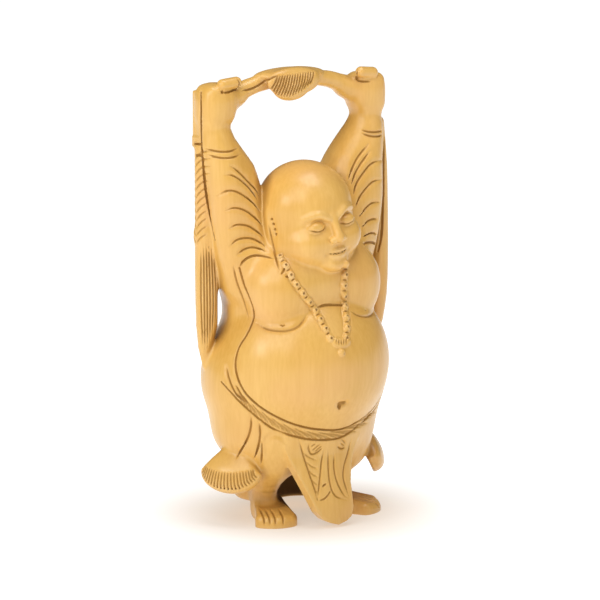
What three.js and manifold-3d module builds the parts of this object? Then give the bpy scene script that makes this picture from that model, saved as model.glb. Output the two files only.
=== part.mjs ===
// A carved wooden budai: a round-bellied monk who raises both arms and holds a fringed cloth overhead.
// Millimetres, +Z up. The figure faces -Y, and the origin is on the ground under its middle.
//
// The whole figure is one block of wood. Each form is a signed distance, negative inside the wood. The forms
// are blended, the carved lines are cut along curves laid on the surface, and the result is meshed once.
import * as THREE from 'three';
import { mergeVertices } from 'three/addons/utils/BufferGeometryUtils.js';
import { SimplifyModifier } from 'three/addons/modifiers/SimplifyModifier.js';
import Module from 'manifold-3d';

// Driving sizes, in millimetres
const figureHeight = 250;
const lineWidth = 2.0; // a V-tool line
const lineDepth = 0.9;
const beadRadius = 2.2;
const beadSpacing = 5.4;
const fringeSpacing = 3.0;
const tasselSpacing = 2.7;

// The proportions are those of a pattern 250 mm tall, and grow with figureHeight
const patternHeight = 250;
const scale = figureHeight / patternHeight;
const patternMiddle = [2.15, -1.35]; // the pattern's own middle, across and front to back

// The space that is looked through for wood, on the pattern
const cell = 0.9;
const blockCells = 8;
const gridLow = [-74, -62, -8];
const gridHigh = [74, 60, 258];
const triangleBudget = 9700;
const limbSteps = 3; // bars between two sections of a limb

const clamp = (value, low, high) => Math.min(Math.max(value, low), high);
const degrees = THREE.MathUtils.degToRad;
const smooth = (a, b, k) => {
  const h = Math.max(k - Math.abs(a - b), 0) / k;
  return Math.min(a, b) - (h * h * k) / 4;
};

// The corner where two forms overlap, and a form cut off level at its foot with a rounded rim
const cornered = (a, b) => Math.hypot(Math.max(a, 0), Math.max(b, 0)) + Math.min(Math.max(a, b), 0);
const trimmed = (form, height, round) => (x, y, z) => cornered(form(x, y, z) + round, height - z + round) - round;

// Forms joined in order, each with the width of its blend
const blend = (list) => (x, y, z) => {
  let d = Infinity;
  for (const [form, k] of list) {
    const next = form(x, y, z);
    if (next - d > k) continue;
    d = d === Infinity ? next : smooth(d, next, k);
  }
  return d;
};

const hollowed = (form, tool, k) => (x, y, z) => -smooth(-form(x, y, z), tool(x, y, z), k);

// An egg or ball: centre [x, y, z] and its three radii
function egg([cx, cy, cz], [rx, ry, rz]) {
  return (x, y, z) => {
    const ax = (x - cx) / rx;
    const ay = (y - cy) / ry;
    const az = (z - cz) / rz;
    const near = Math.sqrt(ax * ax + ay * ay + az * az);
    const slope = Math.sqrt((ax / rx) ** 2 + (ay / ry) ** 2 + (az / rz) ** 2);
    return slope > 0 ? (near * (near - 1)) / slope : -Math.min(rx, ry, rz);
  };
}

// A block with rounded edges
function block([cx, cy, cz], [hx, hy, hz], round) {
  return (x, y, z) => {
    const ax = Math.abs(x - cx) - hx + round;
    const ay = Math.abs(y - cy) - hy + round;
    const az = Math.abs(z - cz) - hz + round;
    const outside = Math.sqrt(Math.max(ax, 0) ** 2 + Math.max(ay, 0) ** 2 + Math.max(az, 0) ** 2);
    return outside + Math.min(Math.max(ax, ay, az), 0) - round;
  };
}

// A tapered bar from one ball [x, y, z, radius] to another
function bar([ax, ay, az, ar], [bx, by, bz, br]) {
  const dx = bx - ax;
  const dy = by - ay;
  const dz = bz - az;
  const long = dx * dx + dy * dy + dz * dz;
  return (x, y, z) => {
    const t = clamp(((x - ax) * dx + (y - ay) * dy + (z - az) * dz) / long, 0, 1);
    const ox = x - ax - dx * t;
    const oy = y - ay - dy * t;
    const oz = z - az - dz * t;
    return Math.sqrt(ox * ox + oy * oy + oz * oz) - ar - (br - ar) * t;
  };
}

// Balls spaced along a smooth curve through the given sections [x, y, z, radius]
function sectionsAlong(sections, count) {
  const middles = sections.map(([x, y, z]) => new THREE.Vector3(x, y, z));
  const path = new THREE.CatmullRomCurve3(middles, false, 'centripetal');
  const last = sections.length - 1;
  return Array.from({ length: count + 1 }, (_, i) => {
    const t = (i / count) * last;
    const k = Math.min(Math.floor(t), last - 1);
    const p = path.getPoint(i / count);
    return [p.x, p.y, p.z, sections[k][3] + (sections[k + 1][3] - sections[k][3]) * (t - k)];
  });
}

// A limb: a smooth chain of round sections
function limb(sections) {
  const balls = sectionsAlong(sections, (sections.length - 1) * limbSteps);
  const bars = balls.slice(1).map((ball, i) => bar(balls[i], ball));
  return (x, y, z) => nearestOf(bars, x, y, z);
}

function nearestOf(list, x, y, z) {
  let d = Infinity;
  for (const tool of list) d = Math.min(d, tool(x, y, z));
  return d;
}

const mirrored = (form) => (x, y, z) => form(Math.abs(x), y, z);

// Height-by-width tables are read off with straight steps between their rows
function readOff(table, at) {
  const last = table.length - 1;
  if (at >= table[0][0]) return table[0][1];
  for (let i = 0; i < last; i++) {
    const [z1, w1] = table[i];
    const [z2, w2] = table[i + 1];
    if (at >= z2) return w2 + ((w1 - w2) * (at - z2)) / (z1 - z2);
  }
  return table[last][1];
}

// Trunk, robe and legs. Mirrored forms are written for the side where x > 0.

const robe = blend([
  [egg([0, 3, 79], [54, 45, 46]), 12], // hips
  [egg([0, 5, 130], [43, 30, 42]), 12], // back
  [egg([-2, 1, 50], [47, 37, 26]), 10], // skirt
  [trimmed(egg([0, 16, 28], [35, 22.5, 30]), 8, 2), 8], // hem behind
  [egg([0, -8, 134], [41, 28, 26]), 4], // chest
  [mirrored(egg([21.5, -18, 129], [17, 15.5, 21])), 11], // breasts
  [egg([0, -7, 88], [48.5, 43, 46]), 2.5], // belly
  [limb([[0, -4, 140, 20], [0, -10, 162, 18]]), 6], // neck
  [block([0, 12, 26], [15, 10, 18], 5), 4], // between the legs
]);
const underRobe = egg([0, -9, 17], [17, 21, 19]);
const hollowRobe = hollowed(robe, underRobe, 3);
const thigh = mirrored(egg([23, -9, 44], [17, 17, 21]));
const leg = mirrored(limb([[22.4, -4, 32, 11.5], [22.8, -1, 18, 7.4], [22.6, 0.5, 9, 6.8], [20.5, 2, 4.5, 7.4]]));

const footHalfWidth = 13.2;
const footHalfHeight = 5;
const footRound = 3.6;
const footRise = 0.22; // the instep rises this much per millimetre back from the toes
const footNarrowing = 0.6; // the heel is narrower than the toes
const toeArch = 0.035; // how far the row of toes curves back at its ends
const ballBack = 14; // the ball of the foot is this far in front of its middle
const soleHeight = 1.4;
const footEase = 0.85; // keeps the bent foot's distances from running over

const rightFootPlace = { middle: [-23.2, -10.2], splay: degrees(-22), half: 15 };
const leftFootPlace = { middle: [28.5, -9.5], splay: degrees(44), half: 18 };

function foot({ middle: [cx, cy], splay, half }) {
  const form = block([0, 0, 0], [footHalfWidth, half, footHalfHeight], footRound);
  const c = Math.cos(splay);
  const s = Math.sin(splay);
  return (x, y, z) => {
    const px = (x - cx) * c + (y - cy) * s;
    const py = (y - cy) * c - (x - cx) * s;
    const heel = clamp((py + ballBack) / (2 * ballBack), 0, 1);
    const arch = toeArch * px * px * (1 - heel);
    const sunk = soleHeight + footRise * (py + ballBack - 2);
    return form(px * (1 + footNarrowing * heel), py - arch, z - sunk) * footEase;
  };
}

// Arms, with the sleeve hanging behind each
const arm = mirrored(limb([
  [25, 0, 136, 17.5],
  [33, 4, 156, 16.4],
  [36.5, 5, 173, 16],
  [40, 6, 191, 14.6],
  [48, 6, 208, 9.8],
  [50.8, 6, 222, 8.6],
  [50.6, 6, 233, 8.4],
]));
const sleeve = mirrored(limb([
  [24, 9, 140, 18],
  [27, 13, 158, 15],
  [32, 14, 175, 13],
  [39.5, 12, 192, 9.5],
  [45, 9, 206, 7.5],
]));
const sleeveEdge = mirrored(limb([
  [38, 1, 134, 8],
  [42.5, -0.5, 150, 8.6],
  [46, -1, 175, 9],
  [47.5, 1, 200, 8.4],
  [50, 3, 209, 7],
]));
const palm = mirrored(block([49.8, 5, 232.2], [8.6, 8, 10], 4));
const hand = mirrored(limb([
  [49, 5.5, 232.3, 9],
  [42, 5.8, 233.4, 7.2],
  [36, 6, 235.6, 6.3],
  [31.4, 5.8, 238, 5],
  [23, 5, 240.7, 4.5],
  [4, 4, 243, 4],
]));
const thumb = mirrored(limb([[49.5, -1.6, 242.8, 3.2], [41.4, -2.2, 243.7, 3.1]]));

// The cloth between the hands: a wavy top, and a fold that hangs over the front
const clothTop = egg([-3, 3, 245.2], [21, 9, 3.8]);
const clothFold = egg([-5, -4, 241.8], [17, 4.2, 7.6]);
const clothTongue = egg([-7.5, -4.5, 236.6], [9.4, 3.8, 5]);

// The whisk behind its right arm, and the plain end of cloth behind its left
const whiskHandle = block([-55.3, 10.2, 226], [3.6, 4.2, 13.1], 1.2);
const whiskRing = block([-55.2, 9.8, 211.5], [4.1, 4.6, 3.2], 1);
const whiskPlait = limb([[-55.8, 9, 208, 4.2], [-53.8, 10, 182, 5.4], [-52.2, 11, 160, 6.2]]);
const whiskTassel = limb([
  [-52.2, 11, 160, 6.2],
  [-51.8, 11.5, 142, 6.4],
  [-51.6, 12, 124, 6.1],
  [-51.2, 12.5, 110, 5.9],
  [-52, 13, 98, 3.8],
  [-51.6, 13.5, 88, 1.6],
]);
const clothEnd = limb([
  [58.4, 5, 214, 3.4],
  [59.2, 5, 190, 4.6],
  [59.4, 5, 150, 5.2],
  [59, 5.5, 118, 5.2],
  [56, 6.5, 98, 4.6],
  [50.5, 8, 86, 3.5],
]);

// The flared hem beside each leg: a fan-shaped plate that stands off the skirt
const hemCentre = new THREE.Vector3(50.8, -6.9, 32.8);
const hemAlong = new THREE.Vector3(0.52, 0.85, -0.02).normalize();
const hemOut = new THREE.Vector3(0.77, -0.45, 0.44).normalize();
hemOut.addScaledVector(hemAlong, -hemOut.dot(hemAlong)).normalize();
const hemDown = new THREE.Vector3().crossVectors(hemAlong, hemOut).normalize();
const hemHalf = 17.8;
const hemDrop = 11.6;
const hemTaper = 0.9;
const hemThickness = 7.6;
const hemRim = 3; // how round its edge is
const hemCurve = 0.011; // how it bends round the leg
const hemFlare = 0.03; // how it bends away below, and above
const hemFlareAbove = 0.015;
const hemRoot = 26; // how far it runs up into the skirt
const hemProud = 1.5;
const fringeLength = 9.5;

function hemFan(x, y, z) {
  const px = x - hemCentre.x;
  const py = y - hemCentre.y;
  const pz = z - hemCentre.z;
  const along = px * hemAlong.x + py * hemAlong.y + pz * hemAlong.z;
  const down = px * hemDown.x + py * hemDown.y + pz * hemDown.z;
  const sunken = (down > 0 ? hemFlare : hemFlareAbove) * down * down;
  const out = px * hemOut.x + py * hemOut.y + pz * hemOut.z + sunken + hemCurve * along * along;
  const edge = down > 0
    ? (Math.hypot(along / hemHalf, down / hemDrop) - 1) * hemDrop
    : (Math.abs(along) - hemHalf - hemTaper * down) * 0.75;
  const half = hemThickness / 2;
  const plate = Math.max(Math.abs(out + half - hemProud) - half, -hemRoot - down);
  return cornered(edge + hemRim, plate + hemRim) - hemRim;
}
const hem = mirrored(hemFan);

// The apron: a tongue of cloth from the belt almost to the ground. Each row is a height and how far the
// edge stands from the middle there, on its right and on its left.
const apronRight = [[52, 30], [43, 28], [31, 22.5], [20, 17.5], [9, 12.6], [5, 9], [3, 5], [1.5, 0]];
const apronLeft = [[52, 20], [44.5, 16.5], [35, 12.5], [24, 10.5], [10, 11], [5, 9], [3, 5.5], [1.5, 0]];
const apronMiddle = [[52, -31], [40, -31.5], [28, -33.2], [17, -35], [8, -36.3], [0, -37]];
const apronThickness = 7;
const apronTop = 52;
const apronFoot = 1.6;
const apronBow = 0.006; // how its face curves back towards its edges

function apron(x, y, z) {
  const reach = x < 0 ? readOff(apronRight, z) : readOff(apronLeft, z);
  const side = (Math.abs(x) - reach) * 0.85;
  const face = Math.abs(y - readOff(apronMiddle, z) - apronBow * x * x) - apronThickness / 2;
  return cornered(Math.max(side, apronFoot - z, z - apronTop), face);
}

// The head, tilted a little towards its right shoulder
const headTilt = degrees(8);
const headPivot = 149;
const headDrop = 3;
const eyeAcross = 9.8;
const eyeUp = 171;
const mouthUp = 155.6;
const tiltCos = Math.cos(headTilt);
const tiltSin = Math.sin(headTilt);
const tilted = (form) => (x, y, z) => {
  const up = z - headPivot;
  return form(x * tiltCos + up * tiltSin, y, headPivot + headDrop - x * tiltSin + up * tiltCos);
};

const skull = blend([
  [egg([0, -12, 178], [25.5, 27, 25]), 0],
  [egg([-1, -18, 160.5], [25.5, 22.5, 19]), 6], // jaw
  [mirrored(egg([11.5, -31, 162], [8.5, 8, 8])), 5], // cheeks
  [egg([0, -35, 149.5], [7.5, 6, 5]), 4], // chin
]);
const eyeSocket = mirrored(egg([eyeAcross, -42, eyeUp + 0.4], [7.4, 5.4, 4.8]));
const ear = hollowed(
  blend([[egg([23.6, -10, 171], [4.2, 7, 11.6]), 0], [egg([25, -11, 150], [2.8, 4.2, 11.4]), 1.8]]),
  egg([28.4, -10.6, 172], [3.4, 3.8, 7.2]),
  1.2,
);
const head = tilted(blend([
  [hollowed(skull, eyeSocket, 3), 0],
  [mirrored(limb([[3.4, -39.4, 175, 1.3], [8.5, -38.2, 178, 1.7], [15.5, -33.4, 176.4, 1.2]])), 2.2], // brows
  [mirrored(egg([eyeAcross, -35.4, eyeUp], [5.6, 3.9, 3.5])), 1], // eyes
  [limb([[0, -38.4, 175.4, 1.9], [0, -41.2, 168, 2.4], [0, -42.6, 164, 2.9]]), 1.8], // nose
  [mirrored(egg([3.7, -40.6, 163.2], [2.2, 2.8, 2.1])), 0.9], // nostrils
  [egg([0, -39.6, mouthUp], [6.6, 2.6, 2.6]), 1.4], // lips
  [mirrored(ear), 1.2],
]));

// The order of joining, each with the width of its blend
const forms = [
  [hollowRobe, 0],
  [sleeve, 8],
  [sleeveEdge, 7],
  [arm, 6],
  [palm, 5],
  [hand, 5],
  [thumb, 0.8],
  [thigh, 4],
  [leg, 5],
  [foot(rightFootPlace), 4],
  [foot(leftFootPlace), 4],
  [hem, 3],
  [apron, 1.5],
  [head, 2],
  [clothTop, 3],
  [clothFold, 3],
  [clothTongue, 3],
  [whiskHandle, 0.8],
  [whiskRing, 0.6],
  [whiskPlait, 2],
  [whiskTassel, 3],
  [clothEnd, 2],
];
const uncarved = blend(forms);

// The blocks of the grid work only with the forms that can reach them
const slack = 1.5;
function reaching(list, [cx, cy, cz], radius) {
  const distances = list.map(([form]) => form(cx, cy, cz));
  const least = Math.min(...distances);
  return list.filter((_, i) => distances[i] <= Math.max(least, 0) + radius * 2 * slack + list[i][1]);
}

// Carved lines. They are drawn on an upright plane through the middle of the figure, as seen by an eye in
// front of its right shoulder, and pushed away from that eye onto the wood.
const viewTurn = degrees(-35);
const viewRise = degrees(10.4);
const viewDistance = 1970;
const drawingScale = 1.8; // drawing units to a millimetre
const drawingMiddle = [300, 300]; // in drawing units, across and down
const clearOf = 90; // a push starts this far from the figure's middle, clear of the wood
const middleAcross = 1.7;
const middleUp = 118.4;
const toEye = new THREE.Vector3(
  Math.sin(viewTurn) * Math.cos(viewRise),
  -Math.cos(viewTurn) * Math.cos(viewRise),
  Math.sin(viewRise),
);
const acrossView = new THREE.Vector3(Math.cos(viewTurn), Math.sin(viewTurn), 0);
const upView = new THREE.Vector3().crossVectors(toEye, acrossView);
const viewMiddle = new THREE.Vector3().addScaledVector(acrossView, middleAcross).addScaledVector(upView, middleUp);
const eyePoint = viewMiddle.clone().addScaledVector(toEye, viewDistance);

const pushSteps = 160;
const touching = 0.02; // a push ends this near the wood
const pushEase = 0.7;

function pushOnto(start, direction, reach) {
  const p = start.clone();
  let gone = 0;
  for (let i = 0; i < pushSteps && gone < reach; i++) {
    const d = uncarved(p.x, p.y, p.z);
    if (d < touching) return p;
    const step = Math.max(d * pushEase, touching);
    p.addScaledVector(direction, step);
    gone += step;
  }
  return null;
}

function fromDrawing([across, down]) {
  const onPlane = viewMiddle
    .clone()
    .addScaledVector(acrossView, (across - drawingMiddle[0]) / drawingScale)
    .addScaledVector(upView, (drawingMiddle[1] - down) / drawingScale);
  const direction = onPlane.sub(eyePoint).normalize();
  return pushOnto(eyePoint.clone().addScaledVector(direction, viewDistance - clearOf), direction, 2 * clearOf);
}

// A line on the back is given in millimetres, across and up, and pushed forwards onto the wood
const fromBehind = ([across, up]) =>
  pushOnto(new THREE.Vector3(across, clearOf, up), new THREE.Vector3(0, -1, 0), 2 * clearOf);

function smoothPoints(points, spacing) {
  const path = new THREE.CatmullRomCurve3(points.map(([a, b]) => new THREE.Vector3(a, b, 0)), false, 'centripetal');
  const count = Math.max(2, Math.round(path.getLength() / spacing));
  return path.getSpacedPoints(count).map((p) => [p.x, p.y]);
}

const cuts = [];
const plainLine = { width: lineWidth, depth: lineDepth, both: false, spacing: 4, taper: 0.35 };
const cutterSpare = 0.15; // the cutter is a little wider than the line that it leaves
const endShare = 6; // a line tapers over one part in this many at each end
function carveLine(points, lay, options = {}) {
  const { width, depth, both, spacing, taper } = { ...plainLine, ...options };
  const laid = smoothPoints(points, spacing).map(lay);
  const count = laid.length - 1;
  const radius = width / 2 + cutterSpare;
  for (let i = 0; i < count; i++) {
    const [a, b] = [laid[i], laid[i + 1]];
    if (!a || !b || a.distanceTo(b) > spacing * 2.5) continue;
    const ends = [[a, i / count], [b, (i + 1) / count]].map(([p, t]) => {
      const n = normalAt(p);
      const share = taper + (1 - taper) * clamp(Math.min(t, 1 - t) * endShare, 0, 1);
      const r = radius * share;
      return [...p.clone().addScaledVector(n, r - depth * share).toArray(), r];
    });
    cuts.push(ends);
    if (both) cuts.push(ends.map(([x, y, z, r]) => [-x, y, z, r]));
  }
}

function normalAt(p) {
  const e = 0.3;
  return new THREE.Vector3(
    uncarved(p.x + e, p.y, p.z) - uncarved(p.x - e, p.y, p.z),
    uncarved(p.x, p.y + e, p.z) - uncarved(p.x, p.y - e, p.z),
    uncarved(p.x, p.y, p.z + e) - uncarved(p.x, p.y, p.z - e),
  ).normalize();
}

const rightSleeveFolds = [
  [[230.5, 166], [237, 170], [245, 177.5], [255, 188.5]],
  [[225, 175], [233, 175.5], [241, 180], [248, 186.5]],
  [[217.2, 195.7], [224.2, 191.8], [232.6, 190.8], [241, 193.6], [250.7, 200.6], [260.5, 211.8], [266, 218]],
  [[225.6, 211], [232.6, 208.3], [239.6, 208.5], [248, 211.8], [257.7, 220], [266.5, 231]],
  [[229, 229], [236, 225.3], [243, 225], [250.7, 227], [259, 232.7], [267.5, 241]],
  [[229.5, 246.7], [236.7, 240.6], [245, 238.3], [253.5, 239], [262, 243.2], [269, 248.8]],
  [[237.4, 255], [243.7, 250.2], [252, 247.4], [260.5, 248.8], [269, 253.7]],
];
const leftSleeveFolds = [
  [[369, 144], [358.4, 156.5], [351.4, 170.5], [348.2, 179.6]],
  [[370.3, 151], [361.2, 163.5], [354.2, 176], [351.4, 184.5]],
  [[382.2, 160], [372.4, 163.5], [362.6, 174.7], [355.6, 186], [353.5, 195]],
  [[381.5, 179.6], [373.8, 181.7], [365.4, 190], [358.4, 200], [355.3, 207]],
  [[380, 202], [372.4, 203.4], [364, 211], [359, 217.3]],
  [[380, 219.4], [373, 219.4], [366.8, 222.4], [362.3, 227.5]],
  [[379.4, 235], [372, 232.9], [363.5, 236.5]],
];
const cuffLines = [
  [[204.7, 148.5], [213, 150.8], [222, 151.8], [231, 151.2], [238, 148]],
  [[207, 154.5], [216, 157.2], [225, 158.2], [234, 157.2], [241, 154]],
  [[360.9, 129.8], [369.4, 131.9], [377.9, 131.9], [384.5, 130.4]],
  [[361.5, 133.4], [371.5, 136.2], [378.9, 136.2], [384.5, 134]],
];
const armholes = [
  [[239.5, 268], [242, 263], [246, 259.2], [253.5, 255.8], [263.3, 255.8], [274, 258.8]],
  [[378.3, 245.3], [371.5, 242.3], [365, 243.4], [361.5, 246]],
];
// Where one form passes behind another, a deeper cut parts them
const partings = [
  [[200.6, 92], [200.8, 112], [201, 134], [202.2, 155], [205.2, 185], [209.6, 215], [214.5, 240]],
  [[384.8, 137], [383.6, 165], [383, 200], [381, 238], [377.5, 252], [374.5, 262], [373.5, 280], [375.5, 292]],
  [[241, 90.5], [249, 89.6], [257, 86.6], [265, 81.5], [272, 77.6], [280, 75]],
];
const collar = [[268, 223], [270.5, 238], [275, 256], [280, 271.5]];
const opening = [
  [239.5, 268], [244, 285], [250, 300], [253.5, 312], [253, 320], [247, 334], [239, 347], [235.5, 360],
  [236, 372], [243, 390], [255, 403], [270, 413.5], [290, 423], [309, 428.3], [325, 430], [337, 430],
  [351.7, 425.5], [364.5, 417], [375, 406.4], [380.5, 396], [384.5, 384],
];
const secondEdge = [[233, 264], [236, 280], [243, 300], [249, 320]];
const beltLower = [
  [221, 382], [237, 399.5], [248, 410], [260, 420], [275, 429.8], [292, 435.8], [309, 439.5], [326, 440],
  [339, 438.3], [349.6, 433], [360, 424.5], [370, 413],
];
const hipFolds = [
  [[225.6, 365], [228, 378], [235.5, 394], [246, 403]],
  [[250.5, 414], [250.4, 427.5], [245.7, 442], [236, 458.4]],
  [[259, 421.5], [259.8, 435], [257, 451], [250.6, 470]],
];
const knee = [[265.4, 448], [266.8, 439.5], [273.5, 435], [281, 436.4], [285, 443]];
const breastLines = [
  [[257, 323], [265, 328], [275.5, 330.4], [286.5, 330.4], [297, 327], [303.4, 320.2], [307.4, 313.5]],
  [[350.2, 310], [358.7, 314.9], [367, 316.4], [372.5, 314.5], [375.5, 310]],
];
const chestCrease = [[316.4, 308.4], [324, 305.3], [334, 304.8], [346.4, 305.3]];
const navel = [[338.6, 404.8], [342, 404.2], [346.5, 403.4]];

const beadStrings = [
  [
    [280, 256.5], [288.4, 270.5], [293.4, 280.6], [300.4, 290], [307.6, 299.4], [314, 308.6], [320, 318.6],
    [325.4, 329], [330.4, 338.6], [336.4, 342],
  ],
  [[346, 264], [344.8, 276.6], [344, 287], [344.6, 298], [345.2, 310.6], [346.8, 321], [347, 332], [346, 338]],
  [[336.4, 342], [341, 343], [341.6, 352.6]],
];
const apronLines = [
  [[298.6, 439.3], [302.9, 453.6], [307.1, 466.4], [311.4, 479.3], [315.7, 492.1], [317.1, 500.7]],
  [[351.4, 438], [347.9, 453.6], [344.3, 466.4], [343.6, 478], [346.4, 488], [349.3, 496.4]],
  [[324.3, 449.3], [322.1, 459.3], [320.7, 472], [319.3, 486.4], [317.9, 499.3], [324.3, 499.3], [331.4, 489.3]],
  [[328.6, 449.3], [328.6, 468], [330, 482], [332.9, 492], [337, 497], [347, 500]],
];
const clothHatch = {
  count: 8,
  topFirst: 278,
  topLast: 314,
  bottomFirst: 269.5,
  bottomLast: 310.5,
  top: 75,
  bottom: 91,
};

const deepLine = { width: 2.6, depth: 1.3 };
for (const fold of [...rightSleeveFolds, ...leftSleeveFolds]) carveLine(fold, fromDrawing);
for (const line of cuffLines) carveLine(line, fromDrawing);
for (const line of [...armholes, ...partings]) carveLine(line, fromDrawing, deepLine);
carveLine(collar, fromDrawing, { both: true, depth: 1.2 });
carveLine(opening, fromDrawing, { ...deepLine, taper: 0.8 });
carveLine(secondEdge, fromDrawing, { both: true });
carveLine(beltLower, fromDrawing, { depth: 1.1, width: 2.4 });
for (const fold of hipFolds) carveLine(fold, fromDrawing, { depth: 1.1, width: 2.2 });
carveLine(knee, fromDrawing, { both: true, width: 3 });
for (const line of [...breastLines, chestCrease]) carveLine(line, fromDrawing);
carveLine(navel, fromDrawing, { depth: 2, width: 4.2, spacing: 1.5, taper: 0.7 });
for (const line of apronLines) carveLine(line, fromDrawing, { depth: 0.8, width: 1.8 });
for (let i = 0; i < clothHatch.count; i++) {
  const t = i / (clothHatch.count - 1);
  const top = clothHatch.topFirst + (clothHatch.topLast - clothHatch.topFirst) * t;
  const bottom = clothHatch.bottomFirst + (clothHatch.bottomLast - clothHatch.bottomFirst) * t;
  const line = [[top, clothHatch.top], [bottom, clothHatch.bottom]];
  carveLine(line, fromDrawing, { depth: 0.7, width: 1.6, spacing: 2.5 });
}

// Folds down the back of the robe
const backFolds = [
  [[-33, 112], [-39, 88], [-38, 60], [-32, 34]],
  [[-20, 104], [-24, 80], [-22, 52], [-19, 26]],
  [[-7, 98], [-9, 74], [-8, 46], [-7, 22]],
  [[-24, 176], [-14, 160], [0, 154]],
];
for (const fold of backFolds) carveLine(fold, fromBehind, { both: true, depth: 1.2, width: 2.6, spacing: 6 });

// The fringe on the flared hems. The far one has none towards the front.
const fringeCount = Math.round((2 * hemHalf * 1.2) / fringeSpacing);
const fringeSpread = 76; // degrees to each side of straight down
const farFringeStart = 0;
const hemClear = 14;
const onHem = (angle, side) => ([inwards]) => {
  const along = Math.sin(angle) * (hemHalf - inwards);
  const down = Math.cos(angle) * (hemDrop - inwards);
  const p = hemCentre.clone().addScaledVector(hemAlong, along).addScaledVector(hemDown, down);
  p.addScaledVector(hemOut, hemClear);
  const mirror = new THREE.Vector3(side, 1, 1);
  return pushOnto(p.multiply(mirror), hemOut.clone().negate().multiply(mirror), 2 * hemClear);
};
for (let i = 0; i < fringeCount; i++) {
  const angle = -fringeSpread + (2 * fringeSpread * (i + 0.5)) / fringeCount;
  for (const side of angle > farFringeStart ? [-1, 1] : [-1]) {
    const line = [[0.6, 0], [fringeLength, 0]];
    carveLine(line, onHem(degrees(angle), side), { depth: 0.8, width: 1.6, taper: 0.7 });
  }
}

// The hair of the whisk
const tasselTop = 157;
const tasselBottom = 95;
const tasselMiddle = [-53.5, 11.5];
const tasselRadius = 7.5;
const tasselTurn = [-70, 130]; // degrees round the whisk, from the front edge to the back
const tasselLines = Math.round((Math.PI * tasselRadius) / tasselSpacing);
for (let i = 0; i < tasselLines; i++) {
  const angle = degrees(tasselTurn[0] + ((tasselTurn[1] - tasselTurn[0]) * i) / (tasselLines - 1));
  const outwards = new THREE.Vector3(-Math.cos(angle), Math.sin(angle), 0);
  const lay = ([, z]) => {
    const start = new THREE.Vector3(tasselMiddle[0], tasselMiddle[1], z).addScaledVector(outwards, 2 * tasselRadius);
    return pushOnto(start, outwards.clone().negate(), 2 * tasselRadius);
  };
  carveLine([[0, tasselTop], [0, tasselBottom]], lay, { depth: 0.8, width: 1.8, spacing: 8, taper: 0.5 });
}

// Toes
const toeGaps = [-7.8, -4.9, -1.8, 2.7];
const toeCutRadius = 0.9;
for (const { middle: [cx, cy], splay, half } of [rightFootPlace, leftFootPlace]) {
  for (const gap of toeGaps) {
    const side = cx < 0 ? gap : -gap;
    const front = -half + toeArch * side * side;
    const path = [[front + 0.2, 1], [front + 1.6, 5.6], [front + 8, 7.6]];
    const points = path.map(([py, z]) => [
      cx + side * Math.cos(splay) - py * Math.sin(splay),
      cy + side * Math.sin(splay) + py * Math.cos(splay),
      z,
      toeCutRadius,
    ]);
    cuts.push([points[0], points[1]], [points[1], points[2]]);
  }
}

// Strings of beads, standing proud of the wood
const raised = [];
function stringBeads(points) {
  const path = smoothPoints(points, 1).map(fromDrawing);
  let gone = beadSpacing / 2;
  for (let i = 1; i < path.length; i++) {
    const [a, b] = [path[i - 1], path[i]];
    if (!a || !b || a.distanceTo(b) > 4) continue;
    raised.push([[...a.toArray(), beadRadius * 0.6], [...b.toArray(), beadRadius * 0.6]]);
    gone += a.distanceTo(b);
    if (gone >= beadSpacing) {
      gone -= beadSpacing;
      const bead = [...b.toArray(), beadRadius];
      raised.push([bead, [bead[0], bead[1], bead[2] + 0.1, beadRadius]]);
    }
  }
}
for (const line of beadStrings) stringBeads(line);
const raisedTools = raised.map(([a, b]) => bar(a, b));

const cutTools = cuts.map(([a, b]) => bar(a, b));

const beadBlend = 0.8;
const cutBlend = 0.4;
const toolReach = 2; // a tool this near a block of the grid may still reach into it
const barely = 1e-6;

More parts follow.
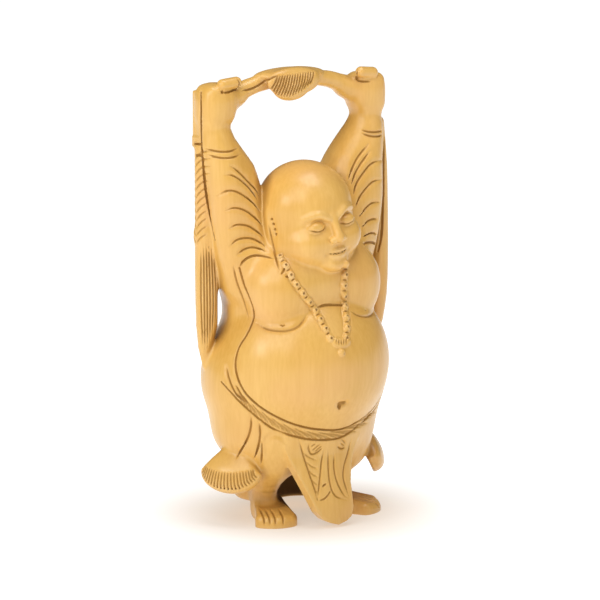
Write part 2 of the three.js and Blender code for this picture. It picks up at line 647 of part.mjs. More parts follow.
// Marching through the six tetrahedra of each grid cell gives a closed surface
function meshWood(low, high, step) {
  const [nx, ny, nz] = [0, 1, 2].map((i) => Math.ceil((high[i] - low[i]) / step / blockCells) * blockCells + 1);
  const values = new Float32Array(nx * ny * nz).fill(NaN);
  const size = blockCells * step;
  const radius = (size * Math.sqrt(3)) / 2;
  const blocks = [];
  for (let bk = 0; bk + 1 < nz; bk += blockCells) {
    for (let bj = 0; bj + 1 < ny; bj += blockCells) {
      for (let bi = 0; bi + 1 < nx; bi += blockCells) {
        const middle = [bi, bj, bk].map((b, i) => low[i] + b * step + size / 2);
        if (Math.abs(uncarved(...middle)) > radius * slack) continue;
        blocks.push([bi, bj, bk]);
        const local = blend(reaching(forms, middle, radius));
        const tools = cutTools.filter((tool) => tool(...middle) < radius + toolReach);
        const proud = raisedTools.filter((tool) => tool(...middle) < radius + toolReach);
        for (let k = bk; k <= bk + blockCells; k++) {
          for (let j = bj; j <= bj + blockCells; j++) {
            for (let i = bi; i <= bi + blockCells; i++) {
              const n = (k * ny + j) * nx + i;
              if (values[n] === values[n]) continue;
              const x = low[0] + i * step;
              const y = low[1] + j * step;
              const z = low[2] + k * step;
              let d = local(x, y, z);
              if (proud.length) d = smooth(d, nearestOf(proud, x, y, z), beadBlend);
              if (tools.length) d = -smooth(-d, nearestOf(tools, x, y, z), cutBlend);
              values[n] = d || barely;
            }
          }
        }
      }
    }
  }

  const positions = [];
  const triangles = [];
  const known = new Map();
  const strides = [1, nx, nx * ny];
  const paths = [[0, 1, 2], [0, 2, 1], [1, 0, 2], [1, 2, 0], [2, 0, 1], [2, 1, 0]];
  const tetrahedra = paths.map(([a, b, c]) => [
    0,
    strides[a],
    strides[a] + strides[b],
    strides[a] + strides[b] + strides[c],
  ]);
  const turned = paths.map(([a, b]) => (b - a + 3) % 3 === 2);
  const crossing = (first, second) => {
    const [p, q] = first < second ? [first, second] : [second, first];
    const key = p * 8 + [1, nx, nx + 1, nx * ny, nx * ny + 1, nx * ny + nx, nx * ny + nx + 1].indexOf(q - p);
    let index = known.get(key);
    if (index === undefined) {
      index = positions.length / 3;
      known.set(key, index);
      const t = clamp(values[p] / (values[p] - values[q]), 0.05, 0.95);
      const place = (n) => [n % nx, Math.floor(n / nx) % ny, Math.floor(n / (nx * ny))];
      const [a, b] = [place(p), place(q)];
      for (let i = 0; i < 3; i++) positions.push(low[i] + (a[i] + (b[i] - a[i]) * t) * step);
    }
    return index;
  };
  for (const [bi, bj, bk] of blocks) {
    for (let k = bk; k < bk + blockCells; k++) {
      for (let j = bj; j < bj + blockCells; j++) {
        for (let i = bi; i < bi + blockCells; i++) {
          const base = (k * ny + j) * nx + i;
          const whole = values[base] < 0;
          let mixed = false;
          for (const d of [1, nx, nx + 1, nx * ny, nx * ny + 1, nx * ny + nx, nx * ny + nx + 1]) {
            if (values[base + d] < 0 !== whole) mixed = true;
          }
          if (!mixed) continue;
          for (let t = 0; t < 6; t++) {
            const [a, b, c, d] = tetrahedra[t].map((n) => base + n);
            const code = (values[a] < 0) + 2 * (values[b] < 0) + 4 * (values[c] < 0) + 8 * (values[d] < 0);
            if (code === 0 || code === 15) continue;
            const flip = turned[t];
            const add = (p, q, r) => (flip ? triangles.push(p, r, q) : triangles.push(p, q, r));
            const e = (p, q) => crossing(p, q);
            if (code === 1) add(e(a, b), e(a, c), e(a, d));
            if (code === 14) add(e(a, b), e(a, d), e(a, c));
            if (code === 2) add(e(b, a), e(b, d), e(b, c));
            if (code === 13) add(e(b, a), e(b, c), e(b, d));
            if (code === 4) add(e(c, a), e(c, b), e(c, d));
            if (code === 11) add(e(c, a), e(c, d), e(c, b));
            if (code === 8) add(e(d, a), e(d, c), e(d, b));
            if (code === 7) add(e(d, a), e(d, b), e(d, c));
            if (code === 3) {
              add(e(a, c), e(a, d), e(b, d));
              add(e(a, c), e(b, d), e(b, c));
            }
            if (code === 12) {
              add(e(a, c), e(b, d), e(a, d));
              add(e(a, c), e(b, c), e(b, d));
            }
            if (code === 5) {
              add(e(a, b), e(c, d), e(a, d));
              add(e(a, b), e(b, c), e(c, d));
            }
            if (code === 10) {
              add(e(a, b), e(a, d), e(c, d));
              add(e(a, b), e(c, d), e(b, c));
            }
            if (code === 9) {
              add(e(a, b), e(a, c), e(c, d));
              add(e(a, b), e(c, d), e(b, d));
            }
            if (code === 6) {
              add(e(a, b), e(c, d), e(a, c));
              add(e(a, b), e(b, d), e(c, d));
            }
          }
        }
      }
    }
  }
  const geometry = new THREE.BufferGeometry();
  geometry.setAttribute('position', new THREE.Float32BufferAttribute(positions, 3));
  geometry.setIndex(triangles);
  return geometry;
}

const fine = meshWood(gridLow, gridHigh, cell);
const spare = fine.attributes.position.count - triangleBudget / 2;
const figure = await new SimplifyModifier().modify(fine, spare);
figure.deleteAttribute('normal');
figure.translate(-patternMiddle[0], -patternMiddle[1], 0);
figure.scale(scale, scale, scale);

// The soles are cut off flat at the ground
const solids = await Module();
solids.setup();
const { Manifold, Mesh } = solids;

function toSolid(geometry) {
  const bare = new THREE.BufferGeometry();
  bare.setAttribute('position', geometry.attributes.position.clone());
  bare.setIndex(geometry.index ? geometry.index.clone() : null);
  const merged = mergeVertices(bare, 1e-4);
  return new Manifold(new Mesh({
    numProp: 3,
    vertProperties: new Float32Array(merged.attributes.position.array),
    triVerts: new Uint32Array(merged.index.array),
  }));
}

function toGeometry(solid) {
  const out = solid.getMesh();
  const geometry = new THREE.BufferGeometry();
  const positions = new Float32Array(out.numVert * 3);
  for (let i = 0; i < out.numVert; i++) {
    for (let axis = 0; axis < 3; axis++) positions[i * 3 + axis] = out.vertProperties[i * out.numProp + axis];
  }
  geometry.setAttribute('position', new THREE.BufferAttribute(positions, 3));
  geometry.setIndex(new THREE.BufferAttribute(new Uint32Array(out.triVerts), 1));
  geometry.computeVertexNormals();
  return geometry;
}

const groundSize = 300 * scale;
const groundDepth = 40 * scale;
const ground = new THREE.BoxGeometry(groundSize, groundSize, groundDepth);
ground.translate(0, 0, -groundDepth / 2);

// Where a cut runs just under the surface it leaves a small pocket, and only the figure itself is kept
const carved = toSolid(figure)
  .subtract(toSolid(ground))
  .decompose()
  .reduce((largest, piece) => (piece.volume() > largest.volume() ? piece : largest));

const wood = new THREE.MeshStandardMaterial({ color: 0xd9ae66, roughness: 0.45, metalness: 0 });
const mesh = new THREE.Mesh(toGeometry(carved), wood);
mesh.name = 'budai_figure';

const group = new THREE.Group();
group.add(mesh);

export default group;
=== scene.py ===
# A carved wooden budai figure: a round-bellied monk who holds a fringed cloth overhead in both hands.
import math

import bpy
import numpy as np
from mathutils import Matrix, Vector


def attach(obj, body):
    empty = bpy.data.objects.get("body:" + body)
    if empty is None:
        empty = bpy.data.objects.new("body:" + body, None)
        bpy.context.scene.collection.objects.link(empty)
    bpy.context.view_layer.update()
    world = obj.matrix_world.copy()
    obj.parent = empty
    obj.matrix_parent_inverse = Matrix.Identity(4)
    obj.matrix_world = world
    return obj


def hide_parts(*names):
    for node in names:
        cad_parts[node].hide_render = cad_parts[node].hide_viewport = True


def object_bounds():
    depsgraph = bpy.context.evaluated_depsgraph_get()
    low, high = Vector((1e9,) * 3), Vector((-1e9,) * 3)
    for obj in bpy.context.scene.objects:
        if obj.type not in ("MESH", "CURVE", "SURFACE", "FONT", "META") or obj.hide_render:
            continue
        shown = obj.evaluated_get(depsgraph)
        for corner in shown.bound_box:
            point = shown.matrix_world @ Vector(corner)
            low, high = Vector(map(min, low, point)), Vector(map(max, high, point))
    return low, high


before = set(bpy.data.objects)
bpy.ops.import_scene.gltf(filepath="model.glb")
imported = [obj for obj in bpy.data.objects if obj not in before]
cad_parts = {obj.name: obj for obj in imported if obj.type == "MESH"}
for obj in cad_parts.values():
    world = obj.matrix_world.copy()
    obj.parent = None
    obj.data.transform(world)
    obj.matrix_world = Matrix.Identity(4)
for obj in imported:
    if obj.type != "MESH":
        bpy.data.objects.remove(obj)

cadLow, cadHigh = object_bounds()

# The figure's pattern is in millimetres, faces -Y and stands on Z = 0. It is set into the frame by its
# height.
pattern = {
    "height": 249.445,
    "middle": (2.15, -1.35),  # across, and front to back
    "low": (-66.0, -54.0, -4.0),  # the space that is looked through for wood
    "high": (68.0, 52.0, 254.0),
}
metresEach = (cadHigh[2] - cadLow[2]) / pattern["height"]


def toFrame(points):
    moved = np.array(points, float) - [*pattern["middle"], 0.0]
    return moved * metresEach


# The camera, where the photograph was taken from

view = {
    "turn": -35.0,  # degrees round from the front, towards its right
    "rise": 10.4,
    "distance": 1970.0,
    "middle": (1.7, 118.4),  # what the picture's middle shows, across and up, in millimetres
    "unitsEach": 1.8,  # picture units to a millimetre, where the picture is 600 units wide
    "picture": 600.0,
    "sensor": 36.0,
    "clipEnd": 50.0,  # metres
}

turn = math.radians(view["turn"])
rise = math.radians(view["rise"])
toEye = np.array([math.sin(turn) * math.cos(rise), -math.cos(turn) * math.cos(rise), math.sin(rise)])
acrossView = np.array([math.cos(turn), math.sin(turn), 0.0])
upView = np.cross(toEye, acrossView)
viewMiddle = acrossView * view["middle"][0] + upView * view["middle"][1]
eyePoint = viewMiddle + toEye * view["distance"]


def addCamera():
    data = bpy.data.cameras.new("camera")
    data.sensor_width = view["sensor"]
    data.lens = view["sensor"] * view["distance"] * view["unitsEach"] / view["picture"]
    data.clip_end = view["clipEnd"]
    camera = bpy.data.objects.new("camera", data)
    turned = Matrix([acrossView, upView, toEye]).transposed().to_4x4()
    turned.translation = toFrame(eyePoint)
    camera.matrix_world = turned
    bpy.context.collection.objects.link(camera)
    bpy.context.scene.camera = camera


addCamera()
print("camera set")


# Forms: each takes points as rows x, y and z, and gives their distances to the wood, negative inside it

def column(values):
    return np.array(values, np.float32).reshape(3, 1)


def melt(first, second, k):
    h = np.maximum(k - np.abs(first - second), 0) / k
    return np.minimum(first, second) - h * h * (k / 4)


def egg(centre, radii):
    middle, size = column(centre), column(radii)
    least = min(radii)

    def distance(p):
        a = (p - middle) / size
        near = np.sqrt((a * a).sum(0))
        a /= size
        slope = np.sqrt((a * a).sum(0))
        return np.where(slope > 1e-6, near * (near - 1) / np.maximum(slope, 1e-6), -least)

    return distance


def block(centre, half, roundness):
    middle, size = column(centre), column(half) - roundness

    def distance(p):
        a = np.abs(p - middle) - size
        return np.sqrt((np.maximum(a, 0) ** 2).sum(0)) + np.minimum(a.max(0), 0) - roundness

    return distance


# The nearest of many tapered bars, each a row: x, y, z and radius at one end, and then at the other
def nearestBar(bars, p):
    start = bars[:, :3, None]
    along = bars[:, 4:7, None] - start
    gap = p[None] - start
    t = np.clip((gap * along).sum(1) / np.maximum((along * along).sum(1), 1e-9), 0, 1)
    gap -= along * t[:, None]
    thick = bars[:, 3, None] + (bars[:, 7] - bars[:, 3])[:, None] * t
    return (np.sqrt((gap * gap).sum(1)) - thick).min(0)


# A smooth curve through points, with the same number of steps in each span
def smoothCurve(points, steps):
    points = np.array(points, float)
    ends = np.vstack([2 * points[0] - points[1], points, 2 * points[-1] - points[-2]])
    made = []
    for i in range(len(points) - 1):
        p0, p1, p2, p3 = ends[i:i + 4]
        g0, g1, g2 = (max(np.linalg.norm(b - a) ** 0.5, 1e-4) for a, b in ((p0, p1), (p1, p2), (p2, p3)))
        lean1 = ((p1 - p0) / g0 - (p2 - p0) / (g0 + g1) + (p2 - p1) / g1) * g1
        lean2 = ((p2 - p1) / g1 - (p3 - p1) / (g1 + g2) + (p3 - p2) / g2) * g1
        for t in np.arange(steps) / steps:
            cubic = 2 * p1 - 2 * p2 + lean1 + lean2
            square = -3 * p1 + 3 * p2 - 2 * lean1 - lean2
            made.append(p1 + lean1 * t + square * t ** 2 + cubic * t ** 3)
    return np.array(made + [points[-1]])


# Points a set distance apart along such a curve
def evenCurve(points, spacing, steps=24):
    path = smoothCurve(points, steps)
    gone = np.concatenate([[0], np.cumsum(np.linalg.norm(np.diff(path, axis=0), axis=1))])
    count = max(2, round(gone[-1] / spacing))
    at = np.linspace(0, gone[-1], count + 1)
    return np.stack([np.interp(at, gone, path[:, i]) for i in range(path.shape[1])], 1)


def toBars(balls):
    return np.hstack([balls[:-1], balls[1:]]).astype(np.float32)


# A smooth chain of round sections x, y, z, radius
def limb(sections, steps=3):
    sections = np.array(sections, float)
    path = smoothCurve(sections[:, :3], steps)
    radii = np.interp(np.arange(len(path)) / steps, np.arange(len(sections)), sections[:, 3])
    bars = toBars(np.column_stack([path, radii]))
    return lambda p: nearestBar(bars, p)


def mirrored(form):
    return lambda p: form(np.stack([np.abs(p[0]), p[1], p[2]]))


# Parts are pairs: a form, and how softly it melts into those before it, in millimetres
def blended(parts):
    def distance(p):
        d = parts[0][0](p)
        for form, k in parts[1:]:
            d = melt(d, form(p), k)
        return d

    return distance


# A form cut off level at its foot, with a rounded rim
def trimmed(form, height, roundness):
    return lambda p: cornered(form(p) + roundness, height - p[2] + roundness) - roundness


def cornered(first, second):
    outside = np.hypot(np.maximum(first, 0), np.maximum(second, 0))
    return outside + np.minimum(np.maximum(first, second), 0)


def hollowed(form, tools):
    def distance(p):
        d = form(p)
        for tool, k in tools:
            d = -melt(-d, tool(p), k)
        return d

    return distance


# The head, upright here and tilted a little towards its right shoulder by tilted()

head = {
    "tilt": 8.0,
    "pivot": 149.0,
    "drop": 3.0,
    "eyeAcross": 9.8,
    "eyeUp": 171.0,
    "mouthUp": 155.6,
}
tiltCos = math.cos(math.radians(head["tilt"]))
tiltSin = math.sin(math.radians(head["tilt"]))


def tilted(form):
    def distance(p):
        x = p[0]
        z = p[2] - head["pivot"]
        return form(np.stack([
            x * tiltCos + z * tiltSin,
            p[1],
            head["pivot"] + head["drop"] - x * tiltSin + z * tiltCos,
        ]))

    return distance


def fromHead(points):
    x, y, z = np.array(points, float).T
    z = z - head["pivot"] - head["drop"]
    return np.stack([x * tiltCos - z * tiltSin, y, head["pivot"] + x * tiltSin + z * tiltCos], 1)


def headForm():
    eyeAcross, eyeUp, mouthUp = head["eyeAcross"], head["eyeUp"], head["mouthUp"]
    skull = blended([
        (egg((0, -12, 178), (25.5, 27, 25)), 0),  # crown
        (egg((-1, -18, 160.5), (25.5, 22.5, 19)), 6),  # jaw
        (mirrored(egg((11.5, -31, 162), (8.5, 8, 8))), 5),  # cheeks
        (egg((0, -35, 149.5), (7.5, 6, 5)), 4),  # chin
    ])
    sockets = [(mirrored(egg((eyeAcross, -42.0, eyeUp + 0.4), (7.4, 5.4, 4.8))), 3.0)]
    brow = limb([(3.4, -39.4, 175.0, 1.2), (8.5, -38.0, 178.0, 1.5), (15.5, -33.4, 176.4, 1.0)])
    upperLip = limb([
        (0, -39.8, mouthUp + 1.2, 1.2),
        (2.6, -39.6, mouthUp + 1.6, 1.3),
        (6.2, -38.2, mouthUp + 0.3, 0.6),
    ])
    lowerLip = limb([
        (0, -39.8, mouthUp - 1.7, 1.7),
        (3.0, -39.4, mouthUp - 1.4, 1.4),
        (5.8, -38.3, mouthUp - 0.4, 0.6),
    ])
    features = [
        (mirrored(brow), 3.0),
        (mirrored(egg((eyeAcross, -35.4, eyeUp), (5.6, 3.9, 3.5))), 1.0),  # closed eyes
        (limb([(0, -38.4, 175.4, 1.9), (0, -41.2, 168.0, 2.3), (0, -42.4, 164.2, 2.9)]), 2.2),  # nose
        (mirrored(egg((3.5, -40.5, 163.2), (2.1, 2.7, 2.0))), 1.2),  # sides of the nose
        (mirrored(upperLip), 0.9),
        (mirrored(lowerLip), 0.9),
    ]
    face = hollowed(skull, sockets)
    return blended([(face, 0), *features, (earForm(), 3.5)])


def earForm():
    shell = egg((24.0, -12.8, 171), (2.8, 3.4, 11))
    lobe = egg((24.6, -13.4, 154), (2.2, 2.8, 11))
    return mirrored(blended([(shell, 0), (lobe, 1.8)]))


# Trunk and robe

def bodyForms():
    return [
        (egg((0, 3, 79), (54, 45, 46)), 12),  # hips
        (egg((0, 5, 130), (43, 30, 42)), 12),  # back
        (egg((-2, 1, 50), (47, 37, 26)), 10),  # skirt
        (trimmed(egg((0, 16, 28), (35, 22.5, 30)), 8, 2), 8),  # hem behind
        (egg((0, -8, 134), (41, 28, 26)), 4),  # chest
        (mirrored(egg((21.5, -18, 129), (17, 15.5, 21))), 11),  # breasts
        (egg((0, -7, 88), (48.5, 43, 46)), 2.5),  # belly
        (limb([(0, -4, 140, 20), (0, -10, 162, 18)]), 6),  # neck
    ]


def armForms():
    sleeve = limb([
        (24, 9, 140, 18),
        (27, 13, 158, 15),
        (32, 14, 175, 13),
        (39.5, 12, 192, 9.5),
        (45, 9, 206, 7.5),
    ], 6)
    sleeveEdge = limb([
        (38, 1, 134, 8),
        (42.5, -0.5, 150, 8.6),
        (46, -1, 175, 9),
        (47.5, 1, 200, 8.4),
        (50, 3, 209, 7),
    ], 6)
    arm = limb([
        (25, 0, 136, 17.5),
        (33, 4, 156, 16.4),
        (36.5, 5, 173, 16),
        (40, 6, 191, 14.6),
        (48, 6, 208, 9.8),
        (50.8, 6, 222, 8.6),
        (50.6, 6, 233, 8.4),
    ], 6)
    palm = block((49.8, 5, 232.2), (8.6, 8, 10), 4)
    hand = limb([
        (49, 5.5, 232.3, 9.0),
        (42, 5.8, 233.4, 7.2),
        (36, 6, 235.6, 6.3),
        (31.4, 5.8, 238, 5.0),
        (23, 5, 240.7, 4.5),
        (4, 4, 243, 4),
    ])
    thumb = limb([(49.5, -1.6, 242.8, 3.2), (41.4, -2.2, 243.7, 3.1)])
    both = [(sleeve, 8), (sleeveEdge, 7), (arm, 6), (palm, 5), (hand, 5), (thumb, 0.8)]
    return [(mirrored(form), k) for form, k in both]


def clothForms():
    return [
        (egg((-3, 3, 245.2), (21, 9, 3.8)), 3),  # the bunched cloth
        (egg((-5, -4, 241.8), (17, 4.2, 7.6)), 3),  # its fringed end
        (egg((-7.5, -4.5, 236.6), (9.4, 3.8, 5)), 3),  # the fringe's lowest part
    ]


# A bent form gives its distances a little short, so that nothing pushed towards it goes through it
caution = 0.85


# Legs and feet

feet = {
    "rightMiddle": (-23.2, -10.2),
    "rightSplay": -22.0,
    "rightHalf": 15.0,
    "leftMiddle": (28.5, -9.5),
    "leftSplay": 44.0,
    "leftHalf": 18.0,
    "halfWidth": 13.2,
    "halfHeight": 5.0,
    "roundness": 3.6,
    "toeEnd": 12.0,  # from the foot's middle forward to where the instep starts to rise
    "toeUp": 1.4,  # how high the foot's middle line is there
    "rise": 0.22,  # the instep rises this much for each millimetre back from the toes
    "heel": 14.0,  # from the foot's middle back to where it is at its narrowest
    "narrowing": 0.6,  # how much narrower the heel is than the toes
    "arch": 0.035,  # how far the row of toes curves back at its ends
    "toeGaps": (-7.8, -4.9, -1.8, 2.7),
    "toeLine": ((-5, 1.2), (-3, 7), (2, 11), (8, 13), (12, 15)),  # back from a toe's front, and up
    "toeCore": (7, 2),  # what the line is pushed towards, back and up
    "toeCut": (0.8, 0.8),
}


def footForm(side):
    half = (feet["halfWidth"], feet[side + "Half"], feet["halfHeight"])
    form = block((0, 0, 0), half, feet["roundness"])
    cx, cy = feet[side + "Middle"]
    splay = math.radians(feet[side + "Splay"])
    c, s = math.cos(splay), math.sin(splay)

    def distance(p):
        x = (p[0] - cx) * c + (p[1] - cy) * s
        y = (p[1] - cy) * c - (p[0] - cx) * s
        heel = np.clip((y + feet["heel"]) / (2 * feet["heel"]), 0, 1)
        arch = feet["arch"] * x * x * (1 - heel)
        up = feet["toeUp"] + feet["rise"] * (y + feet["toeEnd"])
        return form(np.stack([x * (1 + feet["narrowing"] * heel), y - arch, p[2] - up])) * caution

    return distance


def legForms():
    leg = limb([(22.4, -4, 32, 11.5), (22.8, -1, 18, 7.4), (22.6, 0.5, 9, 6.8), (20.5, 2, 4.5, 7.4)])
    return [
        (mirrored(egg((23, -9, 44), (17, 17, 21))), 4),  # knees
        (mirrored(leg), 5),
        (footForm("right"), 4),
        (footForm("left"), 4),
    ]


# The flared hem beside each leg: a fan-shaped plate that stands off the skirt

def unit(vector):
    return np.array(vector, float) / np.linalg.norm(vector)


hem = {
    "centre": (50.8, -6.9, 32.8),
    "along": (0.52, 0.85, -0.02),  # from its front corner to its back one
    "out": (0.77, -0.45, 0.44),  # the way its broad side looks
    "half": 17.8,
    "drop": 11.6,
    "top": -26.0,
    "taper": 0.9,
    "thickness": 7.6,
    "proud": 1.5,  # how far its broad side stands out from its centre
    "rim": 3.0,  # how round its edge is
    "curve": 0.011,
    "droop": 0.03,  # how its lower part curls in, and its upper part
    "upperDroop": 0.015,
    "caution": 0.75,
    "fringe": 9.5,
    "fringeFoot": 0.2,
    "grooveCut": (0.8, 0.7),
    "fan": 72.0,  # degrees from the fringe's middle line to its last one
    "edgeTurn": 2.4,  # nearer the rim than this, its lines turn down over the edge
    "turnRate": 24.0,  # degrees for each millimetre
    "steepest": 80.0,
    "lean": 0.2,  # how much closer together its lines are at their upper ends
    "grooves": 20,
    "farStart": 0,  # the far hem has no fringe further forward than this
    "clear": 14.0,  # how far off the wood its lines start
}
hemCentre = np.array(hem["centre"], float)
hemAlong = unit(hem["along"])
hemOut = np.array(hem["out"])
hemOut = unit(hemOut - hemAlong * (hemOut @ hemAlong))
hemDown = np.cross(hemAlong, hemOut)


def hemForm(p):
    gap = p - column(hemCentre)
    axes = (hemAlong, hemDown, hemOut)
    along, down, out = (np.tensordot(axis.astype(np.float32), gap, 1) for axis in axes)
    curled = np.where(down > 0, hem["droop"], hem["upperDroop"]) * down * down
    out = out + curled + hem["curve"] * along * along
    rounded = (np.hypot(along / hem["half"], down / hem["drop"]) - 1) * hem["drop"]
    straight = (np.abs(along) - hem["half"] - hem["taper"] * down) * hem["caution"]
    edge = np.where(down > 0, rounded, straight)
    half = hem["thickness"] / 2
    plate = np.maximum(np.abs(out + half - hem["proud"]) - half, hem["top"] - down)
    return cornered(edge + hem["rim"], plate + hem["rim"]) - hem["rim"]


# The apron: a tongue of cloth from the belt almost to the ground. Each row is a height and how far the
# edge stands from the middle there, on its right and on its left.

apron = {
    "right": ((52, 30), (43, 28), (31, 22.5), (20, 17.5), (9, 12.6), (5, 9), (3, 5), (1.5, 0)),
    "left": ((52, 20), (44.5, 16.5), (35, 12.5), (24, 10.5), (10, 11), (5, 9), (3, 5.5), (1.5, 0)),
    "middle": ((52, -31), (40, -31.5), (28, -33.2), (17, -35), (8, -36.3), (0, -37)),
    "thickness": 7.0,
    "bow": 0.006,  # how it bends back at its sides
    "tip": 1.6,  # the heights of its tip and its top
    "top": 52.0,
}


def readOff(table, heights):
    rows = np.array(table[::-1], np.float32)
    return np.interp(heights, rows[:, 0], rows[:, 1]).astype(np.float32)


def apronForm(p):
    reach = np.where(p[0] < 0, readOff(apron["right"], p[2]), readOff(apron["left"], p[2]))
    side = (np.abs(p[0]) - reach) * caution
    bowed = readOff(apron["middle"], p[2]) + apron["bow"] * p[0] * p[0]
    face = np.abs(p[1] - bowed) - apron["thickness"] / 2
    rim = np.maximum(np.maximum(side, apron["tip"] - p[2]), p[2] - apron["top"])
    return cornered(rim, face)


# The whisk behind its right arm, and the plain end of cloth behind its left

def whiskForms():
    tassel = limb([
        (-52.2, 11, 160, 6.2),
        (-51.8, 11.5, 142, 6.4),
        (-51.6, 12, 124, 6.1),
        (-51.2, 12.5, 110, 5.9),
        (-52, 13, 98, 3.8),
        (-51.6, 13.5, 88, 1.6),
    ])
    clothEnd = limb([
        (58.4, 5, 214, 3.4),
        (59.2, 5, 190, 4.6),
        (59.4, 5, 150, 5.2),
        (59, 5.5, 118, 5.2),
        (56, 6.5, 98, 4.6),
        (50.5, 8, 86, 3.5),
    ])
    return [
        (block((-55.3, 10.2, 226), (3.6, 4.2, 13.1), 1.2), 0.8),  # handle
        (block((-55.2, 9.8, 211.5), (4.1, 4.6, 3.2), 1.0), 0.6),  # its ring
        (limb([(-55.8, 9, 208, 4.2), (-53.8, 10, 182, 5.4), (-52.2, 11, 160, 6.2)]), 2),  # plait
        (tassel, 3),
        (clothEnd, 2),
    ]


# The robe, hollow below between the legs
underRobe = egg((0, -9, 17), (17, 21, 19))


def skirted():
    behindLegs = block((0, 12, 26), (15, 10, 18), 5)
    return hollowed(blended([*bodyForms(), (behindLegs, 4)]), [(underRobe, 3)])


forms = [
    (skirted(), 0),
    *armForms(),
    *legForms(),
    (mirrored(hemForm), 3),
    (apronForm, 1.5),
    (tilted(headForm()), 2),
    *clothForms(),
    *whiskForms(),
]
uncarved = blended(forms)


# Laying lines on the wood. Each way of laying turns points on a drawing into places off the wood and
# directions to push in. Lengths are in millimetres.

laying = {
    "cameraSide": 90.0,  # pushes start this far from the picture's middle on the camera's side
    "behind": 90.0,
    "faceFront": -70.0,
    "frontLeft": (-0.64, 0.77, 0.0),  # the way that lines on its left side are pushed
    "frontLeftOff": 100.0,
    "reach": 180.0,
    "pushes": 140,
    "stride": 0.7,  # each push goes this share of the way that is surely clear
    "nearest": 0.02,
    "touching": 0.1,  # a push that ends nearer than this has met the wood
    "jump": 7.0,  # a line that would leap further than this from one point to the next is broken there
    "keen": 0.15,  # a line's round section is this much wider than its cut at each side
    "tapers": 6,  # a line thins out at each end over one part in six of its length
}


def fromDrawing(points):
    across, down = np.array(points, float).T
    half = view["picture"] / 2
    onPlane = (
        viewMiddle[:, None]
        + np.outer(acrossView, (across - half) / view["unitsEach"])
        + np.outer(upView, (half - down) / view["unitsEach"])
    )
    direction = onPlane - eyePoint[:, None]
    direction /= np.linalg.norm(direction, axis=0)
    return eyePoint[:, None] + direction * (view["distance"] - laying["cameraSide"]), direction


def pushedAlong(starts, direction):
    starts = np.array(starts, float).T
    return starts, np.repeat(np.array(direction, float)[:, None], starts.shape[1], 1)


def fromBehind(points):
    return pushedAlong([(x, laying["behind"], z) for x, z in points], (0, -1, 0))


def fromFrontLeft(points):
    direction = np.array(laying["frontLeft"])
    return pushedAlong(np.array(points, float) - direction * laying["frontLeftOff"], direction)


def onFace(points):
    return pushedAlong(fromHead([(x, laying["faceFront"], z) for x, z in points]), (0, 1, 0))


# A place on the wood for each start, and whether the push met the wood
def pushOnto(starts, directions):
    p = starts.astype(np.float32)
    directions = directions.astype(np.float32)
    gone = np.zeros(p.shape[1], np.float32)
    for _ in range(laying["pushes"]):
        d = uncarved(p)
        there = (d < laying["nearest"]) | (gone > laying["reach"])
        step = np.where(there, 0, np.maximum(d * laying["stride"], laying["nearest"]))
        if not step.any():
            break
        p += directions * step
        gone += step
    return p, uncarved(p) < laying["touching"]


# The way out of the wood, felt a little to each side
def normalsOf(p, form, reach=0.3):
    steps = [column(axis) * reach for axis in np.eye(3)]
    normals = np.stack([form(p + step) - form(p - step) for step in steps])
    return normals / np.maximum(np.linalg.norm(normals, axis=0), 1e-9)


class Strokes:
    # Tool marks and raised work, gathered first and then laid on the wood together
    def __init__(self):
        self.waiting = []
        self.bars = {"sharp": [], "soft": [], "raised": []}

    # A line is laid on one side or both, and keeps taper as the share of its width and depth at its ends
    def line(
        self, points, width, depth, lay=fromDrawing, both=False, spacing=3.0, taper=0.35, kind="sharp"
    ):
        radius = width / 2 + laying["keen"]
        self.waiting.append((evenCurve(points, spacing), lay, radius, depth, both, taper, kind))

    # A pit or a bead: one short stroke
    def dot(self, point, radius, depth, lay=fromDrawing, kind="sharp"):
        pair = np.array([point, point], float)
        self.waiting.append((pair, lay, radius, depth, False, 1.0, kind))

    def settle(self):
        laid = [lay(points) for points, lay, *_ in self.waiting]
        starts = np.hstack([places for places, _ in laid])
        directions = np.hstack([ways for _, ways in laid])
        p, met = pushOnto(starts, directions)
        normals = normalsOf(p, uncarved)
        first = 0
        for points, _, radius, depth, both, taper, kind in self.waiting:
            span = slice(first, first + len(points))
            first += len(points)
            t = np.linspace(0, 1, len(points))
            share = taper + (1 - taper) * np.clip(np.minimum(t, 1 - t) * laying["tapers"], 0, 1)
            lift = radius * share - depth * share
            if kind == "raised":
                lift = (depth - radius) * share
            balls = np.column_stack([(p[:, span] + normals[:, span] * lift).T, radius * share])
            bars = toBars(balls)
            gaps = np.linalg.norm(bars[:, 4:7] - bars[:, :3], axis=1)
            bars = bars[met[span][:-1] & met[span][1:] & (gaps < laying["jump"])]
            self.bars[kind].append(bars)
            if both:
                otherSide = [-1, 1, 1, 1, -1, 1, 1, 1]
                self.bars[kind].append(bars * otherSide)
        return {kind: np.vstack(rows).astype(np.float32) for kind, rows in self.bars.items()}


strokes = Strokes()


# Sleeves, with each fold drawn as a crescent. Here and below, a cut or a trough is its width and depth.

